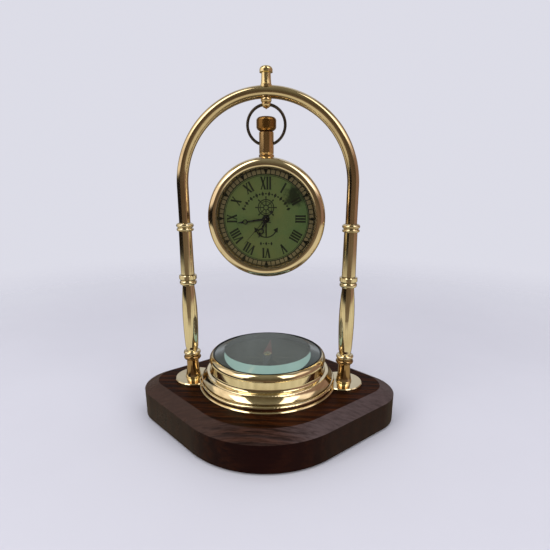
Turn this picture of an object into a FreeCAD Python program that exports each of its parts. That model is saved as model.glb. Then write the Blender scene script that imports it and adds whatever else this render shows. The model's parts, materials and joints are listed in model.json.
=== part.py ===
import FreeCAD, Part
import Sketcher
import math
import os
import re

# Hanging-watch desk clock with a compass base.
# World frame: +X along the arch, front toward -Y, +Z up, origin at the centre of the underside.
# Lengths are in millimetres and angles in degrees.
# Watch frame: X to the right, Y toward twelve o'clock, Z out through the dial;
# its origin is the case centre on the line of the crown's stem.

VEC = FreeCAD.Vector
AXIS_X = VEC(1, 0, 0)
AXIS_Y = VEC(0, 1, 0)
AXIS_Z = VEC(0, 0, 1)

SIZES = {
    # wooden base, its plan made of two broad bows and two end lobes
    "felt_thick": 1.0, "felt_inset": 2.2, "wood_height": 15.8,
    "bow_radius": 42.2, "bow_shift": 5.6, "lobe_radius": 18.0, "lobe_shift": 42.1,
    "bevel_inset": 6.6, "bevel_drop": 3.3, "bolt_recess_radius": 4.5, "bolt_recess_depth": 8.0,
    # brass plate under the compass and columns
    "plate_thick": 1.3, "plate_radius": 32.5, "ear_radius": 9.6, "ear_shift": 35.5, "plate_break": 0.35,
    # base bolts and washers
    "bolt_radius": 1.5, "bolt_clearance": 0.15, "bolt_head_radius": 2.8, "bolt_head_height": 2.2,
    "washer_radius": 4.0, "washer_thick": 0.8, "column_thread_depth": 7.5, "boss_height": 4.2,
    "thread_end_gap": 0.5, "boss_radius": 3.6,
    # compass housing
    "housing_foot_radius": 31.9, "housing_rib_radius": 29.2, "housing_waist_radius": 27.0,
    "housing_height": 10.8, "housing_bore": 24.2, "card_bore": 25.8, "card_ledge": 7.2, "floor_thick": 1.6,
    "card_thick": 0.6, "card_gap": 0.1, "bezel_rise": 3.3, "glass_seat_rise": 0.1, "glass_bore": 25.1,
    "glass_gap": 0.1, "seal_thick": 0.5, "seal_inner": 24.4, "glass_edge": 2.3, "glass_bevel": 4.6,
    "glass_bevel_rise": 2.0,
    "pivot_radius": 0.35, "pivot_rise": 2.6, "pivot_flange_radius": 1.6, "pivot_flange_thick": 0.4,
    "pivot_root_radius": 0.8, "needle_half": 19.0, "needle_half_width": 2.3, "needle_thick": 0.3,
    "needle_lift": 1.5, "cap_radius": 1.2, "cap_flange_radius": 1.9, "cap_height": 1.6, "cap_bore": 0.8,
    # columns, sleeves and arch
    "column_spacing": 73.0, "column_height": 50.6, "foot_radius": 3.65, "foot_rise": 8.3,
    "neck_radius": 2.8, "vase_foot": 15.7, "vase_widest": 30.5, "vase_top": 45.7, "vase_radius": 3.48,
    "vase_top_radius": 2.65, "top_collar_radius": 3.95, "spigot_radius": 1.9, "spigot_height": 4.5,
    "sleeve_height": 23.3, "sleeve_foot_radius": 3.05, "sleeve_top_radius": 2.87,
    "sleeve_taper_height": 19.8,
    "tube_radius": 2.48, "tube_wall": 0.6, "tube_seat": 4.9, "arch_centre_height": 107.9,
    # finial above the arch and hanger below it, on one stud
    "stud_radius": 1.0, "stud_clearance": 0.05, "stud_bottom": 140.9, "stud_engagement": 3.0,
    "finial_bottom": 145.9, "finial_top": 153.7, "finial_foot_radius": 2.3, "finial_stem_radius": 1.9,
    "finial_cap_radius": 2.65, "hanger_bottom": 138.0, "hanger_top": 142.8, "hanger_tip_radius": 0.35,
    "hanger_radius": 1.95, "eye_radius": 0.86, "eye_drop": 0.13,
    # bow
    "bow_ring_radius": 7.78, "bow_ring_rise": 7.1, "bow_wire_radius": 0.6, "bow_bend_radius": 1.0,
    "peg_inner": 1.3, "peg_height": 124.85, "peg_gap": 0.05, "peg_end_gap": 0.1,
    # watch case
    "watch_height": 94.3, "case_radius": 25.15, "case_half": 2.2, "case_edge_radius": 24.7,
    "case_bore": 21.7, "spigot_bore": 22.6, "spigot_length": 1.0, "holder_gap": 0.05,
    "bezel_front": 6.3, "crystal_radius": 21.25, "crystal_gap": 0.05, "crystal_seat": 5.2,
    "gasket_thick": 0.2, "crystal_thick": 1.0, "crystal_dome": 0.5, "rehaut_radius": 20.5,
    "rehaut_front_radius": 20.9, "rehaut_gap": 0.02, "bezel_shoulder_radius": 25.15, "bezel_shoulder": 3.4,
    "cover_rear": 5.7, "cover_inside": 3.7, "cover_rim_radius": 22.4, "cover_rim": 4.9,
    # pendant neck, crown and stem
    "neck_foot": 24.2, "neck_top": 35.2, "neck_outer": 3.05, "neck_collar_radius": 3.2,
    "neck_collar_top": 26.3, "neck_root_radius": 1.5, "neck_root_end": 22.7, "crown_bottom": 35.45,
    "crown_skirt": 1.0, "crown_shoulder": 39.5, "crown_top": 40.95, "crown_radius": 4.1,
    "crown_foot_radius": 3.1,
    "stem_radius": 0.6, "stem_clearance": 0.1, "stem_end": 5.4, "stem_top": 38.7, "lever_groove": 13.6,
    "lever_groove_radius": 0.36, "lever_thick": 0.4, "lever_gap": 0.06,
    # dial and hands
    "dial_radius": 21.4, "dial_back": 3.1, "dial_thick": 0.4, "dial_bore": 1.15, "dial_foot_radius": 0.4,
    "dial_foot_length": 2.0, "dial_foot_x": 11.5, "dial_foot_y": 6.0, "hand_thick": 0.18,
    "hour_level": 3.85, "hour_length": 8.6, "hour_boss": 1.6, "hour_ring_shift": 5.6,
    "hour_ring_radius": 1.25, "minute_level": 4.3, "minute_length": 12.6, "minute_boss": 1.2,
    "minute_ring_shift": 8.9,
    "minute_ring_radius": 1.1, "second_level": 4.75, "second_length": 14.2, "second_tail": 4.0,
    "second_boss": 0.8,
    # movement frame and screws
    "holder_back": 3.6, "plate_back": 0.9, "plate_front": 1.9, "movement_radius": 15.0, "movement_fit": 0.05,
    "bridge_back": 2.9, "bridge_front": 2.0, "bridge_radius": 14.6, "pillar_radius": 1.3,
    "screw_radius": 0.5, "screw_head_radius": 0.95, "screw_head_height": 0.4, "screw_end": 1.5,
    "slot_width": 0.25, "slot_depth": 0.18,
    # power and circuit
    "cell_radius": 3.95, "cell_x": -7.0, "cell_y": 7.8, "cell_back": 1.9, "cell_front": 0.7,
    "strip_thick": 0.2, "strip_half_width": 0.9, "contact_length": 7.4, "contact_direction": 138.0,
    "clamp_length": 12.0, "clamp_tail": 1.3, "clamp_foot_radius": 0.7,
    "board_inner": 10.2, "board_outer": 14.2,
    "board_start": 165.0, "board_end": 275.0, "board_thick": 0.4, "chip_side": 2.4, "chip_height": 0.8,
    "chip_direction": 215.0, "can_radius": 0.7, "can_length": 5.0, "can_direction": 252.0,
    # stepping motor
    "coil_x": 10.2, "core_start": -2.3, "core_end": 9.5, "core_half_width": 0.6, "core_thick": 0.8,
    "winding_start": -0.6, "winding_end": 7.8, "winding_radius": 0.95, "winding_gap": 0.02,
    "stator_thick": 0.6, "stator_hole": 1.35, "magnet_radius": 1.1, "magnet_thick": 0.5,
    # wheel work: tooth sizes, directions of the arbors and levels along them
    "centre_module": 0.14167, "third_module": 0.15, "fourth_module": 0.26, "rotor_module": 0.13,
    "motion_module": 0.17, "hour_module": 0.1632, "wheel_thick": 0.3, "pinion_thick": 0.5,
    "arbor_radius": 0.22, "pivot_gap": 0.04, "third_direction": 200.0, "intermediate_direction": -50.0,
    "rotor_direction": -10.0, "minute_direction": 120.0, "setting_direction": 72.0,
    "cannon_radius": 0.6, "cannon_bore": 0.27, "hour_tube_radius": 0.95, "hour_tube_bore": 0.65,
    "seconds_arbor_radius": 0.22, "post_radius": 0.3, "post_gap": 0.05,
    "centre_level": 0.3, "third_level": -0.35, "fourth_level": -1.0, "intermediate_level": -1.65,
    "motion_level": 2.05, "hour_level_wheel": 2.5,
}

# Tooth counts, seconds hand one turn a minute: rotor 6 into 60, 10 into 30, 8 into 60, 8 into 64,
# then the motion work 12 into 36 and 10 into 40.
TEETH = {
    "rotor": 6, "intermediate_wheel": 60, "intermediate_pinion": 10, "fourth_wheel": 30,
    "fourth_pinion": 8, "third_wheel": 60, "third_pinion": 8, "centre_wheel": 64,
    "cannon_pinion": 12, "minute_wheel": 36, "minute_pinion": 10, "hour_wheel": 40, "setting_wheel": 30,
}

# Hands as shown: clockwise from twelve.
HOUR_ANGLE = 201.8
MINUTE_ANGLE = 261.7
SECOND_ANGLE = 221.6

MOVEMENT_SCREWS = [(-12.4, -2.5), (4.5, -12.2), (4.0, 12.3)]
CLAMP_SCREW = (-12.3, 2.2)
COIL_SCREW_INSET = 0.8

doc = FreeCAD.newDocument("deck_clock")
sheet = doc.addObject("Spreadsheet::Sheet", "Sizes")
for row, (alias, number) in enumerate(SIZES.items(), 1):
    sheet.set(f"A{row}", alias)
    sheet.set(f"B{row}", str(number))
    sheet.setAlias(f"B{row}", alias)
doc.recompute()

PARTS = []


# ---------------------------------------------------------------- sizes and expressions

def formula(text):
    """Point every size name in an expression at its cell of the sheet."""
    return re.sub(r"[a-z_]+", lambda word: "Sizes." + word[0] if word[0] in SIZES else word[0], str(text))


def size(text):
    """Current number behind a size name or an expression of size names, read from the sheet."""
    return float(sheet.evalExpression(formula(text)))


def polar(distance, degrees):
    angle = math.radians(degrees)
    return distance * math.cos(angle), distance * math.sin(angle)


# ---------------------------------------------------------------- sketches

def new_body(label):
    body = doc.addObject("PartDesign::Body", label)
    body.Label = label
    PARTS.append(body)
    return body


def new_sketch(body, label, plane="XY_Plane", offset="0"):
    sketch = body.newObject("Sketcher::SketchObject", label)
    support = [item for item in body.Origin.OriginFeatures if item.Role == plane][0]
    sketch.AttachmentSupport = (support, [""])
    sketch.MapMode = "FlatFace"
    if offset != "0":
        sketch.setExpression("AttachmentOffset.Base.z", formula(offset))
    return sketch


def bind(sketch, kind, *where, to):
    """Add one driving dimension whose value is an expression of sizes."""
    index = sketch.addConstraint(Sketcher.Constraint(kind, *where, size(to)))
    sketch.setExpression(f"Constraints[{index}]", formula(to))


def arc_between(start, end, radius, turn):
    """Minor arc from start to end, turn +1 anticlockwise or -1 clockwise."""
    first, last = (start, end) if turn > 0 else (end, start)
    half = (last - first) * 0.5
    reach = math.sqrt(max(radius * radius - half.Length ** 2, 0.0))
    centre = first + half + VEC(-half.y, half.x, 0).normalize() * reach
    angles = [math.atan2(point.y - centre.y, point.x - centre.x) for point in (first, last)]
    return Part.ArcOfCircle(Part.Circle(centre, AXIS_Z, radius), angles[0], angles[1])


def add_outline(sketch, corners):
    """Closed profile. Each corner is (x, y), or (x, y, radius, turn) when an arc leads to it."""
    points = [VEC(size(corner[0]), size(corner[1]), 0) for corner in corners]
    base = sketch.GeometryCount
    shapes = []
    for place, corner in enumerate(corners):
        start, end = points[place - 1], points[place]
        if len(corner) == 2:
            shapes.append(Part.LineSegment(start, end))
        else:
            shapes.append(arc_between(start, end, size(corner[2]), corner[3]))
    sketch.addGeometry(shapes)
    count = len(corners)
    for place, corner in enumerate(corners):
        here = base + place
        after = base + (place + 1) % count
        end_point = 1 if len(corner) == 4 and corner[3] < 0 else 2
        next_corner = corners[(place + 1) % count]
        start_point = 2 if len(next_corner) == 4 and next_corner[3] < 0 else 1
        sketch.addConstraint(Sketcher.Constraint("Coincident", here, end_point, after, start_point))
        bind(sketch, "DistanceX", here, end_point, to=corner[0])
        bind(sketch, "DistanceY", here, end_point, to=corner[1])
        if len(corner) == 4:
            bind(sketch, "Radius", here, to=corner[2])
    return sketch


def add_circle(sketch, radius, x="0", y="0"):
    index = sketch.addGeometry(Part.Circle(VEC(size(x), size(y), 0), AXIS_Z, size(radius)))
    bind(sketch, "DistanceX", index, 3, to=x)
    bind(sketch, "DistanceY", index, 3, to=y)
    bind(sketch, "Radius", index, to=radius)
    return sketch


# ---------------------------------------------------------------- features

def finish(body, feature):
    body.Tip = feature
    return feature


def turn(body, corners, plane="XZ_Plane", axis="V_Axis", kind="Revolution"):
    sketch = add_outline(new_sketch(body, body.Label + "_section", plane), corners)
    feature = body.newObject("PartDesign::" + kind, body.Label + "_turning")
    feature.Profile = sketch
    feature.ReferenceAxis = (sketch, [axis])
    feature.Angle = 360
    return finish(body, feature)


def pad(body, sketch, length, reverse=False, midplane=False):
    feature = body.newObject("PartDesign::Pad", sketch.Label + "_pad")
    feature.Profile = sketch
    feature.setExpression("Length", formula(length))
    feature.Reversed = reverse
    feature.Midplane = midplane
    return finish(body, feature)


def pocket(body, sketch, length=None, reverse=False, midplane=False):
    """Cut along the sketch normal: backward as it stands, forward when reversed."""
    feature = body.newObject("PartDesign::Pocket", sketch.Label + "_cut")
    feature.Profile = sketch
    if length is None:
        feature.Type = "ThroughAll"
    else:
        feature.setExpression("Length", formula(length))
    feature.Reversed = reverse
    feature.Midplane = midplane
    return finish(body, feature)


def hole(body, label, radius, spots=(("0", "0"),), length=None, reverse=True, plane="XY_Plane",
         offset="0", midplane=False):
    """Round holes at the given spots, forward from the sketch plane unless told otherwise."""
    sketch = new_sketch(body, body.Label + "_" + label, plane, offset)
    for x, y in spots:
        add_circle(sketch, radius, x, y)
    return pocket(body, sketch, length, reverse, midplane)


def bevel_rim(body, label, level, width, drop=None):
    """Chamfer the whole outer edge of a flat top face at the given level."""
    doc.recompute()
    base = body.Tip
    top = size(level) - 0.01
    rim = [f"Edge{number}" for number, edge in enumerate(base.Shape.Edges, 1)
           if edge.BoundBox.ZMin > top and edge.BoundBox.DiagonalLength > 12]
    feature = body.newObject("PartDesign::Chamfer", label)
    feature.Base = (base, rim)
    feature.setExpression("Size", formula(drop or width))
    if drop is not None:
        feature.ChamferType = "Two distances"
        feature.setExpression("Size2", formula(width))
    return finish(body, feature)


def place(body, x="0", y="0", z="0", rotation=None):
    if rotation is not None:
        body.Placement = FreeCAD.Placement(VEC(0, 0, 0), rotation)
    for axis, text in (("x", x), ("y", y), ("z", z)):
        body.setExpression("Placement.Base." + axis, formula(text))


WATCH_TURN = FreeCAD.Rotation(AXIS_X, 90)


def on_watch(body, x="0", y="0", level="0", clockwise=0.0):
    """Place a piece drawn in the watch frame."""
    turned = WATCH_TURN.multiply(FreeCAD.Rotation(AXIS_Z, -clockwise))
    place(body, x, f"-1 * ({level})", f"watch_height + ({y})", turned)


def solid_part(label, shape, x=0.0, y=0.0, level=0.0, clockwise=0.0):
    """Piece shaped directly from Part functions and placed in the watch frame."""
    item = doc.addObject("Part::Feature", label)
    item.Label = label
    item.Shape = shape
    turned = WATCH_TURN.multiply(FreeCAD.Rotation(AXIS_Z, -clockwise))
    seat = FreeCAD.Placement(VEC(x, -level, size("watch_height") + y), turned)
    item.Placement = seat.multiply(shape.Placement)
    PARTS.append(item)
    return item


# ---------------------------------------------------------------- wooden base, felt and plate

def base_outline(body, label, inset, offset="0"):
    """Plan of the base: bow arcs front and back, lobe arcs at the ends, straight flanks between."""
    bow = size(f"bow_radius - {inset}")
    lobe = size(f"lobe_radius - {inset}")
    shift_x, shift_y = size("lobe_shift"), size("bow_shift")
    lean = math.degrees(math.atan2(shift_y, shift_x))
    spread = math.degrees(math.acos((bow - lobe) / math.hypot(shift_x, shift_y)))
    normal = lean - spread
    arcs = []
    for centre, radius, first, last in (
            (VEC(0, -shift_y, 0), bow, -180 - normal, normal),
            (VEC(shift_x, 0, 0), lobe, normal, -normal),
            (VEC(0, shift_y, 0), bow, -normal, 180 + normal),
            (VEC(-shift_x, 0, 0), lobe, 180 + normal, 180 - normal)):
        whole = Part.Circle(centre, AXIS_Z, radius)
        arcs.append(Part.ArcOfCircle(whole, math.radians(first), math.radians(last)))
    sketch = new_sketch(body, label, offset=offset)
    sketch.addGeometry(arcs)
    flanks = [Part.LineSegment(arcs[k].EndPoint, arcs[(k + 1) % 4].StartPoint) for k in range(4)]
    sketch.addGeometry(flanks)
    for k in range(4):
        sketch.addConstraint(Sketcher.Constraint("Tangent", k, 2, 4 + k, 1))
        sketch.addConstraint(Sketcher.Constraint("Tangent", 4 + k, 2, (k + 1) % 4, 1))
    centres = [("0", "-bow_shift", "bow_radius"), ("lobe_shift", "0", "lobe_radius"),
               ("0", "bow_shift", "bow_radius"), ("-lobe_shift", "0", "lobe_radius")]
    for k, (x, y, radius) in enumerate(centres):
        bind(sketch, "DistanceX", k, 3, to=x)
        bind(sketch, "DistanceY", k, 3, to=y)
        bind(sketch, "Radius", k, to=f"{radius} - {inset}")
    return sketch


COLUMN_SPOTS = (("-column_spacing / 2", "0"), ("column_spacing / 2", "0"))
BOLT_SPOTS = COLUMN_SPOTS + (("0", "0"),)

wooden_base = new_body("wooden_base")
pad(wooden_base, base_outline(wooden_base, "base_plan", "0"), "wood_height")
hole(wooden_base, "bolt_recess", "bolt_recess_radius", BOLT_SPOTS, "bolt_recess_depth")
hole(wooden_base, "bolt_hole", "bolt_radius + bolt_clearance", BOLT_SPOTS)
bevel_rim(wooden_base, "base_bevel", "wood_height", "bevel_inset", "bevel_drop")
place(wooden_base, z="felt_thick")

felt_pad = new_body("felt_pad")
pad(felt_pad, base_outline(felt_pad, "felt_plan", "felt_inset"), "felt_thick")

base_plate = new_body("base_plate")
plate_plan = new_sketch(base_plate, "plate_plan")
meet_x = "((plate_radius ^ 2 - ear_radius ^ 2 + ear_shift ^ 2) / (2 * ear_shift))"
meet_y = f"sqrt(plate_radius ^ 2 - {meet_x} ^ 2)"
corner = VEC(size(meet_x), size(meet_y), 0)
disc_angle = math.atan2(corner.y, corner.x)
ear_angle = math.atan2(corner.y, corner.x - size("ear_shift"))
for centre, radius, first, last in (
        (VEC(0, 0, 0), "plate_radius", disc_angle, math.pi - disc_angle),
        (VEC(-size("ear_shift"), 0, 0), "ear_radius", math.pi - ear_angle, math.pi + ear_angle),
        (VEC(0, 0, 0), "plate_radius", math.pi + disc_angle, -disc_angle),
        (VEC(size("ear_shift"), 0, 0), "ear_radius", -ear_angle, ear_angle)):
    plate_plan.addGeometry(Part.ArcOfCircle(Part.Circle(centre, AXIS_Z, size(radius)), first, last))
for k, (x, radius) in enumerate((("0", "plate_radius"), ("-ear_shift", "ear_radius"),
                                 ("0", "plate_radius"), ("ear_shift", "ear_radius"))):
    plate_plan.addConstraint(Sketcher.Constraint("Coincident", k, 2, (k + 1) % 4, 1))
    bind(plate_plan, "DistanceX", k, 3, to=x)
    bind(plate_plan, "DistanceY", k, 3, to="0")
    bind(plate_plan, "Radius", k, to=radius)
pad(base_plate, plate_plan, "plate_thick")
hole(base_plate, "bolt_hole", "bolt_radius + bolt_clearance", BOLT_SPOTS)
bevel_rim(base_plate, "plate_edge", "plate_thick", "plate_break")
place(base_plate, z="felt_thick + wood_height")

RECESS_TOP = "(felt_thick + bolt_recess_depth)"
PLATE_TOP = "(felt_thick + wood_height + plate_thick)"


def bolts(label, spots, reach):
    """Pan-head bolts pushed up from the recesses, their heads under the washers."""
    body = new_body(label)
    heads = new_sketch(body, label + "_heads")
    for x, y in spots:
        add_circle(heads, "bolt_head_radius", x, y)
    pad(body, heads, "bolt_head_height")
    shanks = new_sketch(body, label + "_shanks", offset="bolt_head_height")
    for x, y in spots:
        add_circle(shanks, "bolt_radius", x, y)
    pad(body, shanks, f"{reach} - {RECESS_TOP} + washer_thick")
    place(body, z=f"{RECESS_TOP} - washer_thick - bolt_head_height")


bolts("column_bolts", COLUMN_SPOTS, f"({PLATE_TOP} + column_thread_depth - thread_end_gap)")
bolts("compass_bolt", (("0", "0"),), f"({PLATE_TOP} + boss_height - thread_end_gap)")

base_washers = new_body("base_washers")
washer_plan = new_sketch(base_washers, "washer_plan")
for x, y in BOLT_SPOTS:
    add_circle(washer_plan, "washer_radius", x, y)
    add_circle(washer_plan, "bolt_radius + bolt_clearance", x, y)
pad(base_washers, washer_plan, "washer_thick")
place(base_washers, z=f"{RECESS_TOP} - washer_thick")


# ---------------------------------------------------------------- compass

compass_body = new_body("compass_body")
turn(compass_body, [
    ("bolt_radius", "0"), ("housing_foot_radius", "0"), ("housing_foot_radius", "1.5"),
    ("housing_foot_radius - 0.7", "2.3", "0.9", 1), ("housing_foot_radius - 1.4", "2.4"),
    ("housing_foot_radius - 1.4", "2.9"), ("housing_foot_radius - 1.0", "3.1"),
    ("housing_rib_radius", "5.4", "6", -1), ("housing_rib_radius - 0.8", "6.1", "0.9", 1),
    ("housing_waist_radius + 0.5", "6.3"), ("housing_waist_radius", "7.6", "2.2", -1),
    ("housing_waist_radius", "housing_height"), ("card_bore", "housing_height"), ("card_bore", "card_ledge"),
    ("housing_bore", "card_ledge"), ("housing_bore", "floor_thick"), ("boss_radius", "floor_thick"),
    ("boss_radius", "boss_height"), ("bolt_radius", "boss_height")])
place(compass_body, z=PLATE_TOP)

compass_bezel = new_body("compass_bezel")
turn(compass_bezel, [
    ("card_bore", "0"), ("housing_waist_radius", "0"), ("housing_waist_radius + 0.4", "0.6", "0.6", 1),
    ("glass_bore + 0.2", "bezel_rise", "3.1", 1), ("glass_bore", "bezel_rise - 0.15"),
    ("glass_bore", "glass_seat_rise"), ("housing_bore + 0.1", "glass_seat_rise"),
    ("housing_bore + 0.1", "card_ledge + card_thick - housing_height"),
    ("card_bore", "card_ledge + card_thick - housing_height")])
place(compass_bezel, z=f"{PLATE_TOP} + housing_height")

SEAT_TOP = f"({PLATE_TOP} + housing_height + glass_seat_rise)"
compass_seal = new_body("compass_seal")
turn(compass_seal, [("seal_inner", "0"), ("glass_bore - glass_gap", "0"),
                    ("glass_bore - glass_gap", "seal_thick"), ("seal_inner", "seal_thick")])
place(compass_seal, z=SEAT_TOP)

compass_glass = new_body("compass_glass")
turn(compass_glass, [
    ("0", "0"), ("glass_bore - glass_gap", "0"), ("glass_bore - glass_gap", "glass_edge"),
    ("glass_bore - glass_gap - glass_bevel", "glass_edge + glass_bevel_rise"),
    ("0", "glass_edge + glass_bevel_rise")])
place(compass_glass, z=f"{SEAT_TOP} + seal_thick")

CARD_TOP = f"({PLATE_TOP} + card_ledge + card_thick)"
compass_dial = new_body("compass_dial")
turn(compass_dial, [("pivot_root_radius", "0"), ("card_bore - card_gap", "0"),
                    ("card_bore - card_gap", "card_thick"), ("pivot_root_radius", "card_thick")])
place(compass_dial, z=f"{CARD_TOP} - card_thick")

compass_pivot = new_body("compass_pivot")
turn(compass_pivot, [
    ("0", "-card_thick"), ("pivot_root_radius", "-card_thick"), ("pivot_root_radius", "0"),
    ("pivot_flange_radius", "0"), ("pivot_flange_radius", "pivot_flange_thick"),
    ("pivot_radius + 0.25", "pivot_flange_thick"), ("pivot_radius", "pivot_flange_thick + 0.5"),
    ("pivot_radius", "pivot_rise - 0.7"), ("0.05", "pivot_rise"), ("0", "pivot_rise")])
place(compass_pivot, z=CARD_TOP)

compass_needle = new_body("compass_needle")
needle_plan = add_outline(new_sketch(compass_needle, "needle_plan"), [
    ("0", "needle_half"), ("-needle_half_width", "0"), ("0", "-needle_half"), ("needle_half_width", "0")])
pad(compass_needle, needle_plan, "needle_thick")
hole(compass_needle, "cap_hole", "cap_radius")
place(compass_needle, z=f"{CARD_TOP} + needle_lift")

needle_cap = new_body("needle_cap")
turn(needle_cap, [
    ("cap_bore", "-0.3"), ("cap_radius", "-0.3"), ("cap_radius", "needle_thick"),
    ("cap_flange_radius", "needle_thick"), ("cap_flange_radius", "needle_thick + 0.25"),
    ("cap_radius", "needle_thick + 0.25"), ("cap_radius - 0.2", "cap_height - 0.3"),
    ("0", "cap_height - 0.3"), ("0", "cap_height - 0.45"), ("cap_bore", "0.3")])
place(needle_cap, z=f"{CARD_TOP} + needle_lift")


# ---------------------------------------------------------------- columns, sleeves and arch

def bead(inner, low, high, bulge, base="0"):
    """Corners of one half-round ring on a turned profile, from low to high above the base."""
    half = (high - low) / 2
    radius = (half * half + bulge * bulge) / (2 * bulge)
    return [(inner, f"{base} + {low}"), (inner, f"{base} + {high}", radius, 1)]


def swell(rise, spread):
    """Radius of an arc that stands upright at one end and covers the given rise and spread."""
    return f"(({rise}) ^ 2 + ({spread}) ^ 2) / (2 * ({spread}))"


COLUMN_SECTION = (
    [("bolt_radius", "0"), ("foot_radius", "0"), ("foot_radius", "0.6"),
     ("neck_radius", "foot_rise", "32", -1), ("neck_radius", "9.0")]
    + bead("neck_radius + 0.5", 9.15, 11.2, 0.75)
    + bead("neck_radius + 0.5", 11.6, 13.6, 0.7)
    + [("neck_radius - 0.1", "13.8"), ("neck_radius - 0.1", "14.4"), ("neck_radius + 0.2", "vase_foot"),
       ("vase_radius", "vase_widest",
        swell("vase_widest - vase_foot", "vase_radius - neck_radius - 0.2"), 1),
       ("vase_top_radius", "vase_top", swell("vase_top - vase_widest", "vase_radius - vase_top_radius"), 1),
       ("vase_top_radius", "46.0")]
    + bead("vase_top_radius + 0.75", 46.1, 48.1, 0.45)
    + [("vase_top_radius + 0.5", "48.2"), ("vase_top_radius + 0.5", "48.5"),
       ("top_collar_radius - 0.2", "48.55"), ("top_collar_radius", "48.8"), ("top_collar_radius", "50.3"),
       ("top_collar_radius - 0.25", "column_height"), ("spigot_radius", "column_height"),
       ("spigot_radius", "column_height + spigot_height"), ("0", "column_height + spigot_height"),
       ("0", "column_thread_depth"), ("bolt_radius", "column_thread_depth")])

SLEEVE_SECTION = (
    [("spigot_radius", "0"), ("sleeve_foot_radius - 0.2", "0"), ("sleeve_foot_radius", "0.3"),
     ("sleeve_top_radius", "sleeve_taper_height")]
    + bead("sleeve_top_radius + 0.4", 19.85, 21.2, 0.48)
    + [("sleeve_top_radius + 0.3", "21.4")]
    + bead("sleeve_top_radius + 0.5", 21.5, 23.1, 0.48)
    + [("sleeve_top_radius + 0.2", "sleeve_height"), ("tube_radius", "sleeve_height"),
       ("tube_radius", "tube_seat - 0.2"), ("spigot_radius", "tube_seat - 0.2")])

for side, x in (("left", "-column_spacing / 2"), ("right", "column_spacing / 2")):
    column = new_body(side + "_column")
    turn(column, COLUMN_SECTION)
    place(column, x=x, z=PLATE_TOP)
    sleeve = new_body(side + "_sleeve")
    turn(sleeve, SLEEVE_SECTION)
    place(sleeve, x=x, z=f"{PLATE_TOP} + column_height")

LEG_FOOT = f"({PLATE_TOP} + column_height + tube_seat)"
LEG_LENGTH = f"(arch_centre_height - {LEG_FOOT})"
arch_tube = new_body("arch_tube")
tube_section = new_sketch(arch_tube, "tube_section")
add_circle(tube_section, "tube_radius", "-column_spacing / 2")
add_circle(tube_section, "tube_radius - tube_wall", "-column_spacing / 2")
tube_path = new_sketch(arch_tube, "tube_path", "XZ_Plane")
reach, rise = size("column_spacing / 2"), size(LEG_LENGTH)
tube_path.addGeometry([
    Part.LineSegment(VEC(-reach, 0, 0), VEC(-reach, rise, 0)),
    Part.ArcOfCircle(Part.Circle(VEC(0, rise, 0), AXIS_Z, reach), 0, math.pi),
    Part.LineSegment(VEC(reach, rise, 0), VEC(reach, 0, 0))])
tube_path.addConstraint(Sketcher.Constraint("Coincident", 0, 2, 1, 2))
tube_path.addConstraint(Sketcher.Constraint("Coincident", 1, 1, 2, 1))
for geometry, point, x, y in ((0, 1, "-column_spacing / 2", "0"), (1, 3, "0", LEG_LENGTH),
                              (2, 2, "column_spacing / 2", "0")):
    bind(tube_path, "DistanceX", geometry, point, to=x)
    bind(tube_path, "DistanceY", geometry, point, to=y)
bind(tube_path, "DistanceX", 0, 2, to="-column_spacing / 2")
bind(tube_path, "DistanceY", 0, 2, to=LEG_LENGTH)
bind(tube_path, "DistanceY", 2, 1, to=LEG_LENGTH)
tube_sweep = arch_tube.newObject("PartDesign::AdditivePipe", "tube_sweep")
tube_sweep.Profile = tube_section
tube_sweep.Spine = (tube_path, ["Edge1", "Edge2", "Edge3"])
finish(arch_tube, tube_sweep)
hole(arch_tube, "stud_hole", "stud_radius + stud_clearance")
place(arch_tube, z=LEG_FOOT)


def saddle(body, height):
    """Hollow where a turned piece seats on the curved tube of the arch."""
    sketch = add_circle(new_sketch(body, body.Label + "_saddle", "YZ_Plane"), "tube_radius", "0", height)
    line = sketch.addGeometry(Part.LineSegment(VEC(-1, 0, 0), VEC(1, 0, 0)), True)
    bind(sketch, "DistanceX", line, 1, to="-1")
    bind(sketch, "DistanceX", line, 2, to="1")
    for point in (1, 2):
        bind(sketch, "DistanceY", line, point, to=f"{height} - column_spacing / 2")
    groove = body.newObject("PartDesign::Groove", body.Label + "_saddle_cut")
    groove.Profile = sketch
    groove.ReferenceAxis = (sketch, ["Axis0"])
    groove.Angle = 360
    return finish(body, groove)


ARCH_TOP = "(arch_centre_height + column_spacing / 2)"
finial = new_body("finial")
turn(finial, [
    ("0", "finial_bottom"), ("finial_foot_radius", "finial_bottom"),
    ("finial_foot_radius", "finial_bottom + 1.1"), ("finial_foot_radius - 0.15", "finial_bottom + 1.2"),
    ("finial_stem_radius", "finial_top - 2.9", "30", -1), ("finial_stem_radius", "finial_top - 2.6"),
    ("finial_cap_radius", "finial_top - 2.3"), ("finial_cap_radius", "finial_top - 1.3"),
    ("1.3", "finial_top", "1.6", 1), ("0", "finial_top")])
saddle(finial, ARCH_TOP)
stud_plan = add_circle(new_sketch(finial, "stud_plan", offset="stud_bottom"), "stud_radius")
pad(finial, stud_plan, "finial_bottom + stud_engagement - stud_bottom")

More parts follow.
